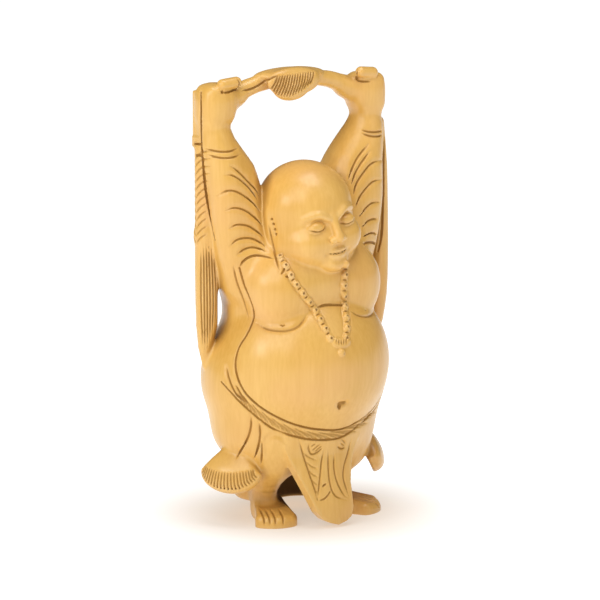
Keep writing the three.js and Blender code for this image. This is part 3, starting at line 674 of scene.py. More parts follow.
sleeves = {
    "foldCut": (0.8, 1.25),
    "foldTrough": (6.0, 0.4),
    "cuffCut": (1.0, 0.8),
    "armholeCut": (1.0, 1.0),
    "right": (
        ((230.5, 166), (237, 170), (245, 177.5), (255, 188.5), (260.5, 197)),
        ((225, 175), (233, 175.5), (241, 180), (248, 186.5), (257.5, 199)),
        ((217.2, 195.7), (224.2, 191.8), (232.6, 190.8), (241, 193.6), (250.7, 200.6), (260.5, 211.8)),
        ((225.6, 211), (232.6, 208.3), (239.6, 208.5), (248, 211.8), (257.7, 220), (262.5, 226)),
        ((229, 229), (236, 225.3), (243, 225), (250.7, 227), (259, 232.7), (263.6, 237)),
        ((229.5, 246.7), (236.7, 240.6), (245, 238.3), (253.5, 239), (262, 243.2), (265.6, 246)),
        ((237.4, 255), (243.7, 250.2), (252, 247.4), (260.5, 248.8), (266, 251.4)),
    ),
    "left": (
        ((369, 144), (358.4, 156.5), (351.4, 170.5), (348.2, 179.6)),
        ((370.3, 151), (361.2, 163.5), (354.2, 176), (351.4, 184.5)),
        ((382.2, 160), (372.4, 163.5), (362.6, 174.7), (355.6, 186), (353.5, 195)),
        ((381.5, 179.6), (373.8, 181.7), (365.4, 190), (358.4, 200), (355.3, 207)),
        ((380, 202), (372.4, 203.4), (364, 211), (359, 217.3)),
        ((380, 219.4), (373, 219.4), (366.8, 222.4), (362.3, 227.5)),
        ((379.4, 235), (372, 232.9), (363.5, 236.5)),
    ),
    "cuffs": (
        ((204.7, 148.5), (213, 150.8), (222, 151.8), (231, 151.2), (238, 148)),
        ((207, 154.5), (216, 157.2), (225, 158.2), (234, 157.2), (241, 154)),
        ((360.9, 129.8), (369.4, 131.9), (377.9, 131.9), (384.5, 130.4)),
        ((361.5, 133.4), (371.5, 136.2), (378.9, 136.2), (384.5, 134)),
    ),
    "armholes": (
        ((239.5, 268), (242, 263), (246, 259.2), (253.5, 255.8), (263.3, 255.8), (274, 258.8)),
        ((378.3, 245.3), (371.5, 242.3), (365, 243.4), (361.5, 246)),
    ),
}


def carveSleeves():
    for fold in sleeves["right"] + sleeves["left"]:
        strokes.line(fold, *sleeves["foldCut"])
        strokes.line(fold[:-1], *sleeves["foldTrough"], taper=0.1, kind="soft")
    for cuff in sleeves["cuffs"]:
        strokes.line(cuff, *sleeves["cuffCut"])
    for edge in sleeves["armholes"]:
        strokes.line(edge, *sleeves["armholeCut"])


# Where one form passes behind another, a deeper cut parts them

partings = {
    "arm": ((200.6, 92), (200.8, 112), (201, 134), (202.2, 155), (205.2, 185), (209.6, 215), (214.5, 240)),
    "armCut": (1.2, 1.5),
    "ring": (((194, 143.6), (201, 144.2)), ((194, 155.2), (202, 155.8))),
    "ringCut": (1.0, 1.2),
    "farArm": ((384.8, 137), (383.6, 165), (383, 200), (381, 238), (377.5, 252)),
    "farArmCut": (1.2, 1.3),
    "thumb": ((222, 91.8), (226, 92.6), (233.5, 90), (239.6, 85.6), (239.4, 81.5), (237.2, 78.6)),
    "thumbCut": (0.9, 1.0),
    "thumbRoot": (222.4, 92),
    "thumbPit": (1.0, 1.1),
    "farThumb": ((356.6, 68.5), (356.4, 74), (357.4, 79.6), (364, 81.4), (371.8, 81)),
    "farThumbCut": (0.9, 0.9),
    "fold": ((241, 90.5), (249, 89.6), (257, 86.6), (265, 81.5), (272, 77.6), (280, 75)),
    "foldCut": (1.0, 1.0),
}


def carvePartings():
    strokes.line(partings["arm"], *partings["armCut"], taper=0.8)
    strokes.line(partings["farArm"], *partings["farArmCut"], taper=0.6)
    for cut in partings["ring"]:
        strokes.line(cut, *partings["ringCut"], spacing=1.5, taper=0.9)
    strokes.line(partings["thumb"], *partings["thumbCut"], spacing=1.5)
    strokes.dot(partings["thumbRoot"], *partings["thumbPit"])
    strokes.line(partings["farThumb"], *partings["farThumbCut"], spacing=1.5)
    strokes.line(partings["fold"], *partings["foldCut"], spacing=2.0)


# The robe's edge round the chest and belly, its belt and its folds

robe = {
    "edge": (
        (239.5, 268), (244, 285), (250, 300), (253.5, 312), (253, 320), (247, 334), (239, 347),
        (235.5, 360), (236, 372), (243, 390), (255, 403), (270, 413.5), (290, 423), (309, 428.3),
        (325, 430), (337, 430), (351.7, 425.5), (364.5, 417),
    ),
    "farEdge": (  # on round its left side, in millimetres
        (20.3, -35.5, 58.4), (27, -32.8, 61.4), (33, -30, 65), (39, -25.5, 70), (44.5, -20, 76.5),
        (48, -15, 85), (48.5, -12, 94), (46.3, -11.6, 101), (42.8, -14, 108), (39, -14.5, 116),
        (40.5, -14.8, 125), (42.4, -11.5, 134),
    ),
    "edgeCut": (1.0, 1.1),
    "secondEdge": ((233, 264), (236, 280), (243, 300), (249, 320)),
    "secondCut": (0.9, 0.8),
    "beltFoot": (
        (221, 382), (237, 399.5), (248, 410), (260, 420), (275, 429.8), (292, 435.8), (309, 439.5),
        (326, 440), (339, 438.3), (349.6, 433), (360, 424.5),
    ),
    "farBeltFoot": (
        (17.7, -35, 54.5), (25, -33, 57), (33, -28.5, 60.5), (40, -23, 65), (46, -17, 70), (50, -11, 76.5),
        (52.5, -4.5, 84),
    ),
    "beltCut": (0.9, 1.0),
    "collar": ((268, 224), (271.6, 240), (275.4, 256), (279.5, 272)),
    "notch": (((286.6, 265.4), (284, 270), (281, 275)), ((285, 276.6), (288.6, 276.4), (292.4, 275))),
    "collarCut": (0.8, 0.8),
    "hipFolds": (
        ((225.6, 365), (228, 378), (235.5, 394), (246, 403)),
        ((234.5, 384), (240, 394), (248, 404)),
        ((250.5, 414), (250.4, 427.5), (245.7, 442), (236, 458.4)),
        ((259, 421.5), (259.8, 435), (257.6, 449), (254, 459)),
    ),
    "hipCut": (0.9, 1.3),
    "hipTrough": (7.0, 0.4),
    "frontEdge": ((261.4, 439.3), (261.8, 453), (260.8, 465)),
    "frontCut": (0.9, 0.9),
    "ledge": ((266, 441), (266.4, 449), (266, 457)),
    "ledgeTrough": (5.0, 0.6),
    "knee": ((265.4, 448), (266.8, 439.5), (273.5, 435), (281, 436.4), (285, 443)),
    "kneeTrough": (5.0, 0.9),
    "backFolds": (
        ((-33, 112), (-39, 88), (-38, 60), (-32, 34)),
        ((-20, 104), (-24, 80), (-22, 52), (-19, 26)),
        ((-7, 98), (-9, 74), (-8, 46), (-7, 22)),
        ((-24, 176), (-14, 160), (0, 154)),
    ),
    "backCut": (1.5, 1.9),
    "backTrough": (9.0, 0.7),
}


def carveRobe():
    strokes.line(robe["edge"], *robe["edgeCut"], taper=0.8)
    strokes.line(robe["farEdge"], *robe["edgeCut"], fromFrontLeft, taper=0.8)
    strokes.line(robe["secondEdge"], *robe["secondCut"], both=True)
    strokes.line(robe["beltFoot"], *robe["beltCut"], taper=0.8)
    strokes.line(robe["farBeltFoot"], *robe["beltCut"], fromFrontLeft, taper=0.8)
    strokes.line(robe["collar"], *robe["collarCut"], both=True)
    for cut in robe["notch"]:
        strokes.line(cut, *robe["collarCut"], spacing=1.5)
    for fold in robe["hipFolds"]:
        strokes.line(fold, *robe["hipCut"])
        strokes.line(fold[:-1], *robe["hipTrough"], taper=0.2, kind="soft")
    strokes.line(robe["frontEdge"], *robe["frontCut"])
    strokes.line(robe["ledge"], *robe["ledgeTrough"], taper=0.2, kind="soft")
    strokes.line(robe["knee"], *robe["kneeTrough"], both=True, kind="soft")
    for fold in robe["backFolds"]:
        strokes.line(fold, *robe["backCut"], fromBehind, both=True, spacing=5.0)
        strokes.line(fold, *robe["backTrough"], fromBehind, both=True, spacing=5.0, taper=0.2, kind="soft")


# Chest and belly

chest = {
    "breasts": (
        (
            (257, 323), (265, 328), (275.5, 330.4), (286.5, 330.4), (297, 327), (303.4, 320.2),
            (307.4, 313.5),
        ),
        ((350.2, 310), (358.7, 314.9), (367, 316.4), (372.5, 314.5), (375.5, 310)),
    ),
    "breastCut": (1.2, 1.1),
    "breastTrough": (5.0, 0.4),
    "nipples": (((280, 324.4), (282.5, 325.6), (285, 324.6)), ((365.5, 309.6), (367.2, 311.4))),
    "nippleCut": (0.8, 0.7),
    "crease": ((316.4, 308.4), (324, 305.3), (334, 304.8), (346.4, 305.3)),
    "creaseCut": (1.1, 0.9),
    "navel": ((338.6, 404.8), (342, 404.2), (346.5, 403.4)),
    "navelCut": (3.0, 1.6),
    "navelTip": ((340.4, 405), (339.8, 408.6)),
    "navelTipCut": (2.8, 1.7),
    "navelTrough": (7.0, 0.9),
}


def carveChest():
    for breast in chest["breasts"]:
        strokes.line(breast, *chest["breastCut"])
        strokes.line(breast, *chest["breastTrough"], taper=0.2, kind="soft")
    for nipple in chest["nipples"]:
        strokes.line(nipple, *chest["nippleCut"], spacing=1.0)
    strokes.line(chest["crease"], *chest["creaseCut"])
    strokes.line(chest["navel"], *chest["navelCut"], spacing=1.5, taper=0.6)
    strokes.line(chest["navelTip"], *chest["navelTipCut"], spacing=1.5, taper=0.6)
    strokes.line(chest["navel"], *chest["navelTrough"], spacing=1.5, taper=0.7, kind="soft")


# Strings of beads, each bead pierced

beads = {
    "strings": (
        (
            (280, 256.5), (288.4, 270.5), (293.4, 280.6), (300.4, 290), (307.6, 299.4), (314, 308.6),
            (320, 318.6), (325.4, 329), (330.4, 338.6),
        ),
        (
            (346, 264), (344.8, 276.6), (344, 287), (344.6, 298), (345.2, 310.6), (346.8, 321), (347, 332),
            (346, 338),
        ),
    ),
    "cord": (3.8, 0.9),  # width, and how far it stands out
    "radius": 2.15,
    "proud": 1.9,
    "spacing": 5.9,
    "edge": 3.9,  # how far the cut lines run from the middle of a string, in drawing units
    "edgeCut": (0.7, 0.35),
    "notch": 2.6,  # half the length of the notch between two beads, in drawing units
    "notchCut": (0.7, 0.0),
    "pin": 0.8,
    "pinDepth": 1.3,
    "pinAside": (0.6, 0.0),
    "neckPins": ((271.7, 219.2), (273.4, 224), (274.8, 229.4), (275.9, 234.2), (281.8, 258.6)),
    "neckPinDepth": 1.0,
    "pendant": ((336.4, 342), (341, 343), (346, 341)),
    "pendantSize": (6.6, 1.8),
    "arcs": 5,
    "arcTop": (0.5, -4.0),
    "arcBend": (-1.6, 3.6),
    "arcEnd": (-1.4, 7.6),
    "arcCut": (0.6, -1.1),
    "drop": (341.6, 352.6),
    "dropSize": (2.2, 1.8),
    "dropPin": (343.6, 353.6),
    "dropPinSize": (0.7, -0.5),
}


def stringBeads():
    for string in beads["strings"]:
        strokes.line(string, *beads["cord"], spacing=1.5, taper=1.0, kind="raised")
        path = evenCurve(string, 2.0)
        along = np.gradient(path, axis=0)
        side = np.column_stack([along[:, 1], -along[:, 0]]) / np.linalg.norm(along, axis=1)[:, None]
        for reach in (-beads["edge"], beads["edge"]):
            strokes.line(path + side * reach, *beads["edgeCut"], spacing=2.0)
        spots = evenCurve(string, beads["spacing"] * view["unitsEach"])
        for spot in spots:
            strokes.dot(spot, beads["radius"], beads["proud"], kind="raised")
            strokes.dot(spot + beads["pinAside"], beads["pin"], beads["pinDepth"] - beads["proud"])
        for a, b in zip(spots[:-1], spots[1:]):
            middle = (a + b) / 2
            across = np.array([(b - a)[1], (a - b)[0]]) / np.linalg.norm(b - a) * beads["notch"]
            strokes.line((middle - across, middle + across), *beads["notchCut"], spacing=1.2, taper=0.9)
    for spot in beads["neckPins"]:
        strokes.dot(spot, beads["pin"], beads["neckPinDepth"])
    strokes.line(beads["pendant"], *beads["pendantSize"], spacing=2.0, taper=1.0, kind="raised")
    first, _, last = (np.array(point) for point in beads["pendant"])
    for share in np.linspace(0, 1, beads["arcs"]):
        top = first + (last - first) * share + beads["arcTop"]
        arc = (top, top + beads["arcBend"], top + beads["arcEnd"])
        strokes.line(arc, *beads["arcCut"], spacing=1.2, taper=0.9)
    strokes.dot(beads["drop"], *beads["dropSize"], kind="raised")
    strokes.dot(beads["dropPin"], *beads["dropPinSize"])


# The belt's twist, the apron's ribbons and leaf hatch

belt = {
    "course": (
        (231, 387), (244, 401), (262, 415.5), (285, 428), (305, 434), (322, 435.4), (338, 433.6),
        (352, 428), (363, 419.6),
    ),
    "pitch": 13.0,
    "reach": 3.6,
    "strands": ((0.0, 0.8), (0.33, 0.6), (0.6, 0.6)),  # where each starts along a turn, and its width
    "slant": 0.7,  # how far past the next turn's start a strand runs, as a share of a turn
    "low": 0.9,  # shares of the reach, at a strand's start, middle and end
    "sag": 0.15,
    "high": 0.95,
    "depth": 0.6,
}
ribbons = {
    "edges": (
        ((298.6, 439.3), (302.9, 453.6), (307.1, 466.4), (311.4, 479.3), (315.7, 492.1), (317.1, 500.7)),
        ((351.4, 438), (347.9, 453.6), (344.3, 466.4), (343.6, 478), (346.4, 488), (349.3, 496.4)),
    ),
    "tails": (
        ((324.3, 449.3), (322.1, 459.3), (320.7, 472), (319.3, 486.4), (317.9, 499.3)),
        ((318.6, 500.7), (324.3, 499.3), (328.6, 495), (331.4, 489.3)),
        ((328.6, 449.3), (328.6, 468), (330, 482), (332.9, 492), (337, 497), (347, 500)),
        ((334.3, 452), (334.3, 468), (336.4, 479.3), (339.3, 486.4), (344.3, 495), (348.6, 498)),
    ),
    "stitch": ((322.4, 487), (326.8, 483.4)),
    "loops": (
        ((309.3, 443.6), (308.6, 448), (311.4, 454.3), (317.1, 453), (323.6, 447)),
        ((337, 446.4), (341.6, 449), (346, 447)),
    ),
    "loopHatch": (
        ((312, 451), (320.6, 444.2)), ((314.6, 452.6), (322, 446)), ((311, 447), (316, 443.6)),
        ((341.4, 439), (346, 443.6)), ((340.6, 443), (345, 446.6)),
    ),
    "lineCut": (0.8, 0.7),
    "stitchCut": (0.9, 0.8),
    "hatchCut": (0.7, 0.6),
    "leafTop": (303.4, 453),
    "leafBottom": (316.6, 496),
    "leafWidths": (14.0, 2.6),  # the highest leaf's and the lowest one's
    "leafMiddles": (5.0, 4.0),
    "leafEnds": (7.4, 5.4),
    "leaves": 6,
    "leafCut": (0.7, 0.55),
}


def carveBelt():
    path = evenCurve(belt["course"], belt["pitch"])
    for a, b in zip(path[:-1], path[1:]):
        side = np.array([-(b - a)[1], (b - a)[0]]) / np.linalg.norm(b - a) * belt["reach"]
        for ahead, width in belt["strands"]:
            first = a + (b - a) * ahead
            last = b + (b - a) * (ahead + belt["slant"])
            middle = (first + last) / 2 - side * belt["sag"]
            low, high = belt["low"] - ahead, belt["high"] - ahead / 2
            strand = (first - side * low, middle, last + side * high)
            strokes.line(strand, width, belt["depth"], spacing=2.0, taper=0.3)


def carveApron():
    for line in ribbons["edges"] + ribbons["tails"]:
        strokes.line(line, *ribbons["lineCut"])
    strokes.line(ribbons["stitch"], *ribbons["stitchCut"], spacing=1.5)
    for loop in ribbons["loops"]:
        strokes.line(loop, *ribbons["lineCut"], spacing=2.0)
    for line in ribbons["loopHatch"]:
        strokes.line(line, *ribbons["hatchCut"], spacing=1.5)
    top, bottom = np.array(ribbons["leafTop"], float), np.array(ribbons["leafBottom"], float)
    for share in np.linspace(0, 1, ribbons["leaves"]):
        at = top + (bottom - top) * share
        width, middle, end = (
            first + (last - first) * share
            for first, last in (ribbons["leafWidths"], ribbons["leafMiddles"], ribbons["leafEnds"])
        )
        leaf = (at, at + (width / 2, middle), at + (width, end))
        strokes.line(leaf, *ribbons["leafCut"], spacing=2.0)


# The fringe of the flared hems

def onHem(points):
    places, ways = [], []
    for angle, inwards in points:
        kept = max(inwards, hem["edgeTurn"])
        along = math.sin(angle) * hem["half"] * (1 - hem["lean"] * kept / hem["fringe"])
        down = math.cos(angle) * hem["drop"] - kept
        under = -hem["proud"] - hem["droop"] * down * down - hem["curve"] * along * along
        slope = math.radians(min(hem["steepest"], hem["turnRate"] * (kept - inwards)))
        outwards = hemAlong * math.sin(angle) + hemDown * math.cos(angle)
        away = hemOut * math.cos(slope) + outwards * math.sin(slope)
        core = hemCentre + hemAlong * along + hemDown * down + hemOut * under
        places.append(core + away * hem["clear"])
        ways.append(-away)
    return np.array(places).T, np.array(ways).T


def onNearHem(points):
    places, ways = onHem(points)
    mirror = np.array([[-1.0], [1.0], [1.0]])
    return places * mirror, ways * mirror


def carveFringe():
    for i in range(hem["grooves"]):
        angle = math.radians(hem["fan"] * ((2 * i + 1) / hem["grooves"] - 1))
        groove = ((angle, hem["fringeFoot"]), (angle, hem["fringe"] * math.sqrt(math.cos(angle))))
        strokes.line(groove, *hem["grooveCut"], onNearHem, spacing=1.0, taper=0.8)
        if angle > hem["farStart"]:
            strokes.line(groove, *hem["grooveCut"], onHem, spacing=1.0, taper=0.8)


# The whisk's plait and hair

whisk = {
    "middle": (-53.5, 11.5),
    "round": 10.0,  # lines round it are drawn with arcs of this radius
    "clear": 16.0,
    "strands": (
        ((200.6, 246), (200.7, 300), (202.6, 350)),
        ((203.4, 242), (204.2, 300), (205, 353)),
        ((206.4, 240), (207.4, 300), (207.8, 349)),
        ((209, 242), (210.6, 300), (210.2, 343)),
        ((211.6, 246), (213.8, 300), (212.6, 336)),
        ((214, 253), (216.8, 298), (215, 328)),
    ),
    "strandCut": (0.7, 0.85),
    "backHairs": 5,
    "backSpan": (55, 140),  # degrees round from its right side towards the back
    "backTop": 157.0,
    "backFoot": 93.0,
    "backCut": (0.8, 0.8),
    "plaits": 12,
    "plaitTop": 206.0,
    "plaitFoot": 160.0,
    "plaitSides": ((-75, -5), (65, -5)),  # degrees at each cut's start and end
    "plaitBend": (2.0, -0.5, -4.0),
    "plaitCut": (0.8, 0.6),
}


def roundWhisk(points):
    places, ways = [], []
    for arc, z in points:
        angle = arc / whisk["round"]
        out = np.array([-math.cos(angle), math.sin(angle), 0.0])
        places.append(np.array([*whisk["middle"], z]) + out * whisk["clear"])
        ways.append(-out)
    return np.array(places).T, np.array(ways).T


def carveWhisk():
    for strand in whisk["strands"]:
        strokes.line(strand, *whisk["strandCut"], taper=0.3)
    for angle in np.linspace(*whisk["backSpan"], whisk["backHairs"]):
        arc = math.radians(angle) * whisk["round"]
        hair = ((arc, whisk["backTop"]), (arc, whisk["backFoot"]))
        strokes.line(hair, *whisk["backCut"], roundWhisk, taper=0.5)
    for z in np.linspace(whisk["plaitTop"], whisk["plaitFoot"], whisk["plaits"]):
        for start, stop in whisk["plaitSides"]:
            arcs = [math.radians(angle) * whisk["round"] for angle in (start, (start + stop) / 2, stop)]
            cut = [(arc, z + up) for arc, up in zip(arcs, whisk["plaitBend"])]
            strokes.line(cut, *whisk["plaitCut"], roundWhisk, spacing=1.5)


# The hatch on the cloth that hangs between the hands

clothHatch = {
    "count": 15,
    "tops": (278.0, 314.0),  # across the picture, the first line's and the last one's
    "bottoms": (269.5, 310.5),
    "top": 76.5,
    "topRise": 5.0,
    "bottom": 92.0,
    "bottomRise": 8.0,
    "sag": 8.5,
    "bend": 1.0,
    "cut": (0.8, 0.9),
}


def carveCloth():
    ends = (clothHatch["tops"], clothHatch["bottoms"])
    for t in np.linspace(0, 1, clothHatch["count"]):
        top, bottom = (first + (last - first) * t for first, last in ends)
        sag = clothHatch["sag"] * math.sin(math.pi * t)
        high = clothHatch["top"] - clothHatch["topRise"] * t
        low = clothHatch["bottom"] - clothHatch["bottomRise"] * t + sag
        bend = ((top + bottom) / 2 + clothHatch["bend"], (high + low) / 2)
        strokes.line(((top, high), bend, (bottom, low)), *clothHatch["cut"], spacing=2.0, taper=0.7)


# Toes: a line between each two, from the sole's edge over the front and up the instep

def overToes(key, front):
    splay = math.radians(feet[key + "Splay"])
    ahead, across = math.cos(splay), math.sin(splay)
    turned = np.array([[ahead, -across, 0], [across, ahead, 0], [0, 0, 1]])
    middle = np.array([*feet[key + "Middle"], 0.0])[:, None]
    behind, above = feet["toeCore"]

    def lay(points):
        places = np.array(points, float).T
        far = np.maximum(places[1], front + behind)
        inside = np.stack([places[0], far, np.full(places.shape[1], above)])
        ways = turned @ (inside - places)
        return turned @ places + middle, ways / np.linalg.norm(ways, axis=0)

    return lay


def carveToes():
    for side, key in ((-1, "right"), (1, "left")):
        for gap in feet["toeGaps"]:
            x = -side * gap
            front = -feet[key + "Half"] + feet["arch"] * x * x
            path = [(x, front + back, up) for back, up in feet["toeLine"]]
            strokes.line(path, *feet["toeCut"], overToes(key, front), spacing=1.2)


# The face is calm: lowered lids, a straight nose and closed lips. Places are millimetres across and up.

face = {
    "lid": ((-5.4, -0.4), (-2.6, -1.8), (1, -2.0), (5.6, -0.2)),  # from the eye's middle
    "lidCut": (0.7, 0.9),
    "crease": ((-5.0, 1.8), (-1.5, 3.6), (2, 3.4), (6.0, 0.9)),
    "creaseCut": (0.6, 0.4),
    "nostril": (2.1, 161.4),
    "nostrilPit": (0.8, 0.9),
    "wing": ((5.5, 165.0), (5.9, 163.0), (4.9, 161.6)),
    "wingCut": (0.6, 0.5),
    "lips": ((-6.2, 0.3), (-3, -0.1), (0, -0.3), (3, -0.1), (6.2, 0.3)),  # from the mouth's middle
    "lipCut": (0.6, 1.1),
    "corner": (7.2, -0.1),
    "cornerPit": (1.6, 0.5),
    "underNose": ((0, 160.9), (0, 158.9)),
    "underNoseTrough": (1.8, 0.4),
    "underLip": ((-3.6, -4.4), (0, -4.8), (3.6, -4.4)),
    "underLipTrough": (2.4, 0.6),
}


def faceLine(key, cut, across=0.0, up=0.0, side=1, taper=0.35, kind="sharp"):
    points = [(side * (across + x), up + z) for x, z in face[key]]
    strokes.line(points, *face[cut], onFace, spacing=0.8, taper=taper, kind=kind)


def carveFace():
    across, up, mouth = head["eyeAcross"], head["eyeUp"], head["mouthUp"]
    for side in (-1, 1):
        faceLine("lid", "lidCut", across, up, side, taper=0.4)
        faceLine("crease", "creaseCut", across, up, side)
        faceLine("wing", "wingCut", side=side)
        x, z = face["nostril"]
        strokes.dot((side * x, z), *face["nostrilPit"], onFace)
        x, z = face["corner"]
        strokes.dot((side * x, mouth + z), *face["cornerPit"], onFace, kind="soft")
    faceLine("lips", "lipCut", up=mouth, taper=0.5)
    faceLine("underNose", "underNoseTrough", kind="soft")
    faceLine("underLip", "underLipTrough", up=mouth, kind="soft")


carveSleeves()
carvePartings()
carveRobe()
carveChest()
stringBeads()
carveBelt()
carveApron()
carveFringe()
carveWhisk()
carveCloth()
carveToes()
carveFace()
marks = strokes.settle()
print("lines laid:", {kind: len(bars) for kind, bars in marks.items()})


# The whole block of wood, worked out cube by cube on a fine grid

grid = {
    "cell": 0.44,
    "quickCell": 0.62,
    "cubeCells": 12,
    "slack": 1.5,
    "margin": 3.0,  # how far from the surface the fine grid is still filled
    "melts": {"soft": 1.0, "raised": 0.5, "sharp": 0.3},  # how softly each kind of stroke meets the wood
    "triangles": 190000,
}
cell = grid["cell"]


def fillGrid():
    n = grid["cubeCells"]
    low = np.array(pattern["low"], np.float32)
    cubes = np.ceil((np.array(pattern["high"]) - low) / (cell * n)).astype(int)
    corner = np.stack(np.meshgrid(*(np.arange(c) for c in cubes), indexing="ij"), -1).reshape(-1, 3)
    middles = (low + (corner * n + (n - 1) / 2) * cell).T.astype(np.float32)
    cubeRadius = (n + 1) * cell * math.sqrt(3) / 2
    radius = cubeRadius * grid["slack"]
    apart = np.stack([form(middles) for form, _ in forms])
    widths = np.array([k for _, k in forms])
    whole = uncarved(middles)
    nearest = apart.min(0)
    wanted = apart <= np.maximum(nearest, 0) + 2 * radius + widths[:, None]
    live = np.nonzero(np.abs(whole) < radius + grid["margin"])[0]
    wood = np.repeat(whole.reshape(cubes), n, 0).repeat(n, 1).repeat(n, 2)
    plain = wood.copy()
    close = {}
    for kind, bars in marks.items():
        middle = (bars[:, :3] + bars[:, 4:7])[:, :, None] / 2
        away = np.linalg.norm(middle - middles[None, :, live], axis=1)
        half = np.linalg.norm(bars[:, 4:7] - bars[:, :3], axis=1) / 2 + np.maximum(bars[:, 3], bars[:, 7])
        close[kind] = away < (half + cubeRadius + grid["margin"])[:, None]
    steps = np.stack(np.meshgrid(*(np.arange(n),) * 3, indexing="ij"), 0).reshape(3, -1)
    steps = steps.astype(np.float32) * cell
    for row, cube in enumerate(live):
        i, j, k = corner[cube] * n
        p = steps + (low + corner[cube] * n * cell)[:, None].astype(np.float32)
        near = [forms[f] for f in np.nonzero(wanted[:, cube])[0]]
        d = blended(near)(p)
        for kind, width in grid["melts"].items():
            if kind == "sharp":
                plain[i:i + n, j:j + n, k:k + n] = d.reshape(n, n, n)
            bars = marks[kind][close[kind][:, row]]
            if not len(bars):
                continue
            tool = nearestBar(bars, p)
            d = melt(d, tool, width) if kind == "raised" else -melt(-d, tool, width)
        wood[i:i + n, j:j + n, k:k + n] = d.reshape(n, n, n)
    heights = low[2] + np.arange(wood.shape[2]) * cell
    return np.maximum(wood, -heights[None, None, :]).astype(np.float32), plain, low


wood, plain, gridLow = fillGrid()
print("grid filled:", wood.shape)


# A surface net: one point in each cell that the surface crosses, and a face over each crossed edge

def netOf(values):
    solid = values < 0
    total = np.zeros([s - 1 for s in values.shape], np.uint8)
    offsets = [(i, j, k) for i in (0, 1) for j in (0, 1) for k in (0, 1)]
    shape = total.shape
    for i, j, k in offsets:
        total += solid[i:i + shape[0], j:j + shape[1], k:k + shape[2]]
    mixed = (total > 0) & (total < 8)
    where = np.stack(np.nonzero(mixed), 1)
    number = np.full(shape, -1, np.int32)
    number[mixed] = np.arange(len(where))
    corners = np.stack([values[tuple((where + o).T)] for o in offsets], 1)
    sums = np.zeros((len(where), 3))
    counts = np.zeros(len(where))
    for a, first in enumerate(offsets):
        for axis in range(3):
            if first[axis]:
                continue
            second = tuple(v + (1 if n == axis else 0) for n, v in enumerate(first))
            b = offsets.index(second)
            crossed = (corners[:, a] < 0) != (corners[:, b] < 0)
            gap = corners[:, a] - corners[:, b]
            t = np.where(crossed, corners[:, a] / np.where(crossed, gap, 1), 0)
            spot = np.array(first, float) + np.eye(3)[axis] * t[:, None]
            sums += spot * crossed[:, None]
            counts += crossed
    points = where + sums / counts[:, None]
    faces = []
    for axis in range(3):
        a, b = [n for n in range(3) if n != axis]
        here = np.take(solid, range(values.shape[axis] - 1), axis)
        there = np.take(solid, range(1, values.shape[axis]), axis)
        edges = np.stack(np.nonzero(here != there), 1)
        edges = edges[(edges[:, a] > 0) & (edges[:, b] > 0)]
        outwards = here[tuple(edges.T)]
        stepA, stepB = np.eye(3, dtype=int)[a], np.eye(3, dtype=int)[b]
        ring = [number[tuple((edges - s).T)] for s in (stepA + stepB, stepB, np.zeros(3, int), stepA)]
        quads = np.stack(ring, 1)
        flip = outwards if axis != 1 else ~outwards
        quads[~flip] = quads[~flip][:, ::-1]
        faces.append(quads)
    return points, np.vstack(faces)


# Small pockets and specks are dropped, and only the figure itself is kept
def largestShell(points, faces):
    label = np.arange(len(points))
    while True:
        lowest = label[faces].min(1)
        before = label.copy()
        for i in range(4):
            np.minimum.at(label, faces[:, i], lowest)
        label = label[label]
        if (label == before).all():
            break
    kept = label == np.bincount(label).argmax()
    number = np.cumsum(kept) - 1
    return points[kept], number[faces[kept[faces[:, 0]]]]


points, faces = largestShell(*netOf(wood))
print("surface found:", len(points), "points")


# The grid read between its points
def readGrid(values, p):
    at = np.clip(p, 0, np.array(values.shape) - 1.001)
    base = at.astype(int)
    part = at - base
    out = 0
    for i in (0, 1):
        for j in (0, 1):
            for k in (0, 1):
                share = np.abs(1 - i - part[:, 0]) * np.abs(1 - j - part[:, 1]) * np.abs(1 - k - part[:, 2])
                out = out + share * values[base[:, 0] + i, base[:, 1] + j, base[:, 2] + k]
    return out


def gridNormals(p, reach=0.8):
    gaps = [readGrid(wood, p + step) - readGrid(wood, p - step) for step in np.eye(3) * reach]
    normals = np.stack(gaps, 1)
    return normals / np.maximum(np.linalg.norm(normals, axis=1, keepdims=True), 1e-9)


def meshFigure():
    mesh = bpy.data.meshes.new("budai_carving")
    mesh.from_pydata(toFrame(points * cell + gridLow), [], faces.tolist())
    carving = bpy.data.objects.new("budai_carving", mesh)
    bpy.context.collection.objects.link(carving)
    lighter = carving.modifiers.new("lighter", "DECIMATE")
    lighter.ratio = min(1.0, grid["triangles"] / (2 * len(faces)))
    graph = bpy.context.evaluated_depsgraph_get()
    final = bpy.data.meshes.new_from_object(carving.evaluated_get(graph))
    carving.modifiers.clear()
    carving.data = final
    final.validate()
    final.polygons.foreach_set("use_smooth", [True] * len(final.polygons))
    bpy.data.meshes.remove(mesh)
    return carving


# How deep each point lies in a tool mark, how shut in or proud it is, how far the wood round it shades it,
# and whether it is up inside the robe. From these the colour is painted darker: in the cuts and crevices
# partly as stain and partly as painted shade, as painted shade where the wood round shades it, and near
# black up inside the robe as painted shade, where the wood is also left rougher and unpolished

hollows = {
    "deepest": 1.5,
    "reach": 2.0,  # how far from the surface the wood is felt for
    "probes": (7.0, 15.0),  # how far off the surface the larger forms are felt for
    "robeDepth": 2.0,  # how far round the hollow the painted shade reaches
    "robeFront": -26.0,  # where the painted shade starts, and how much further back it is full
    "robeFade": 14.0,
    "footTop": 3.0,  # nothing below this is darkened
}


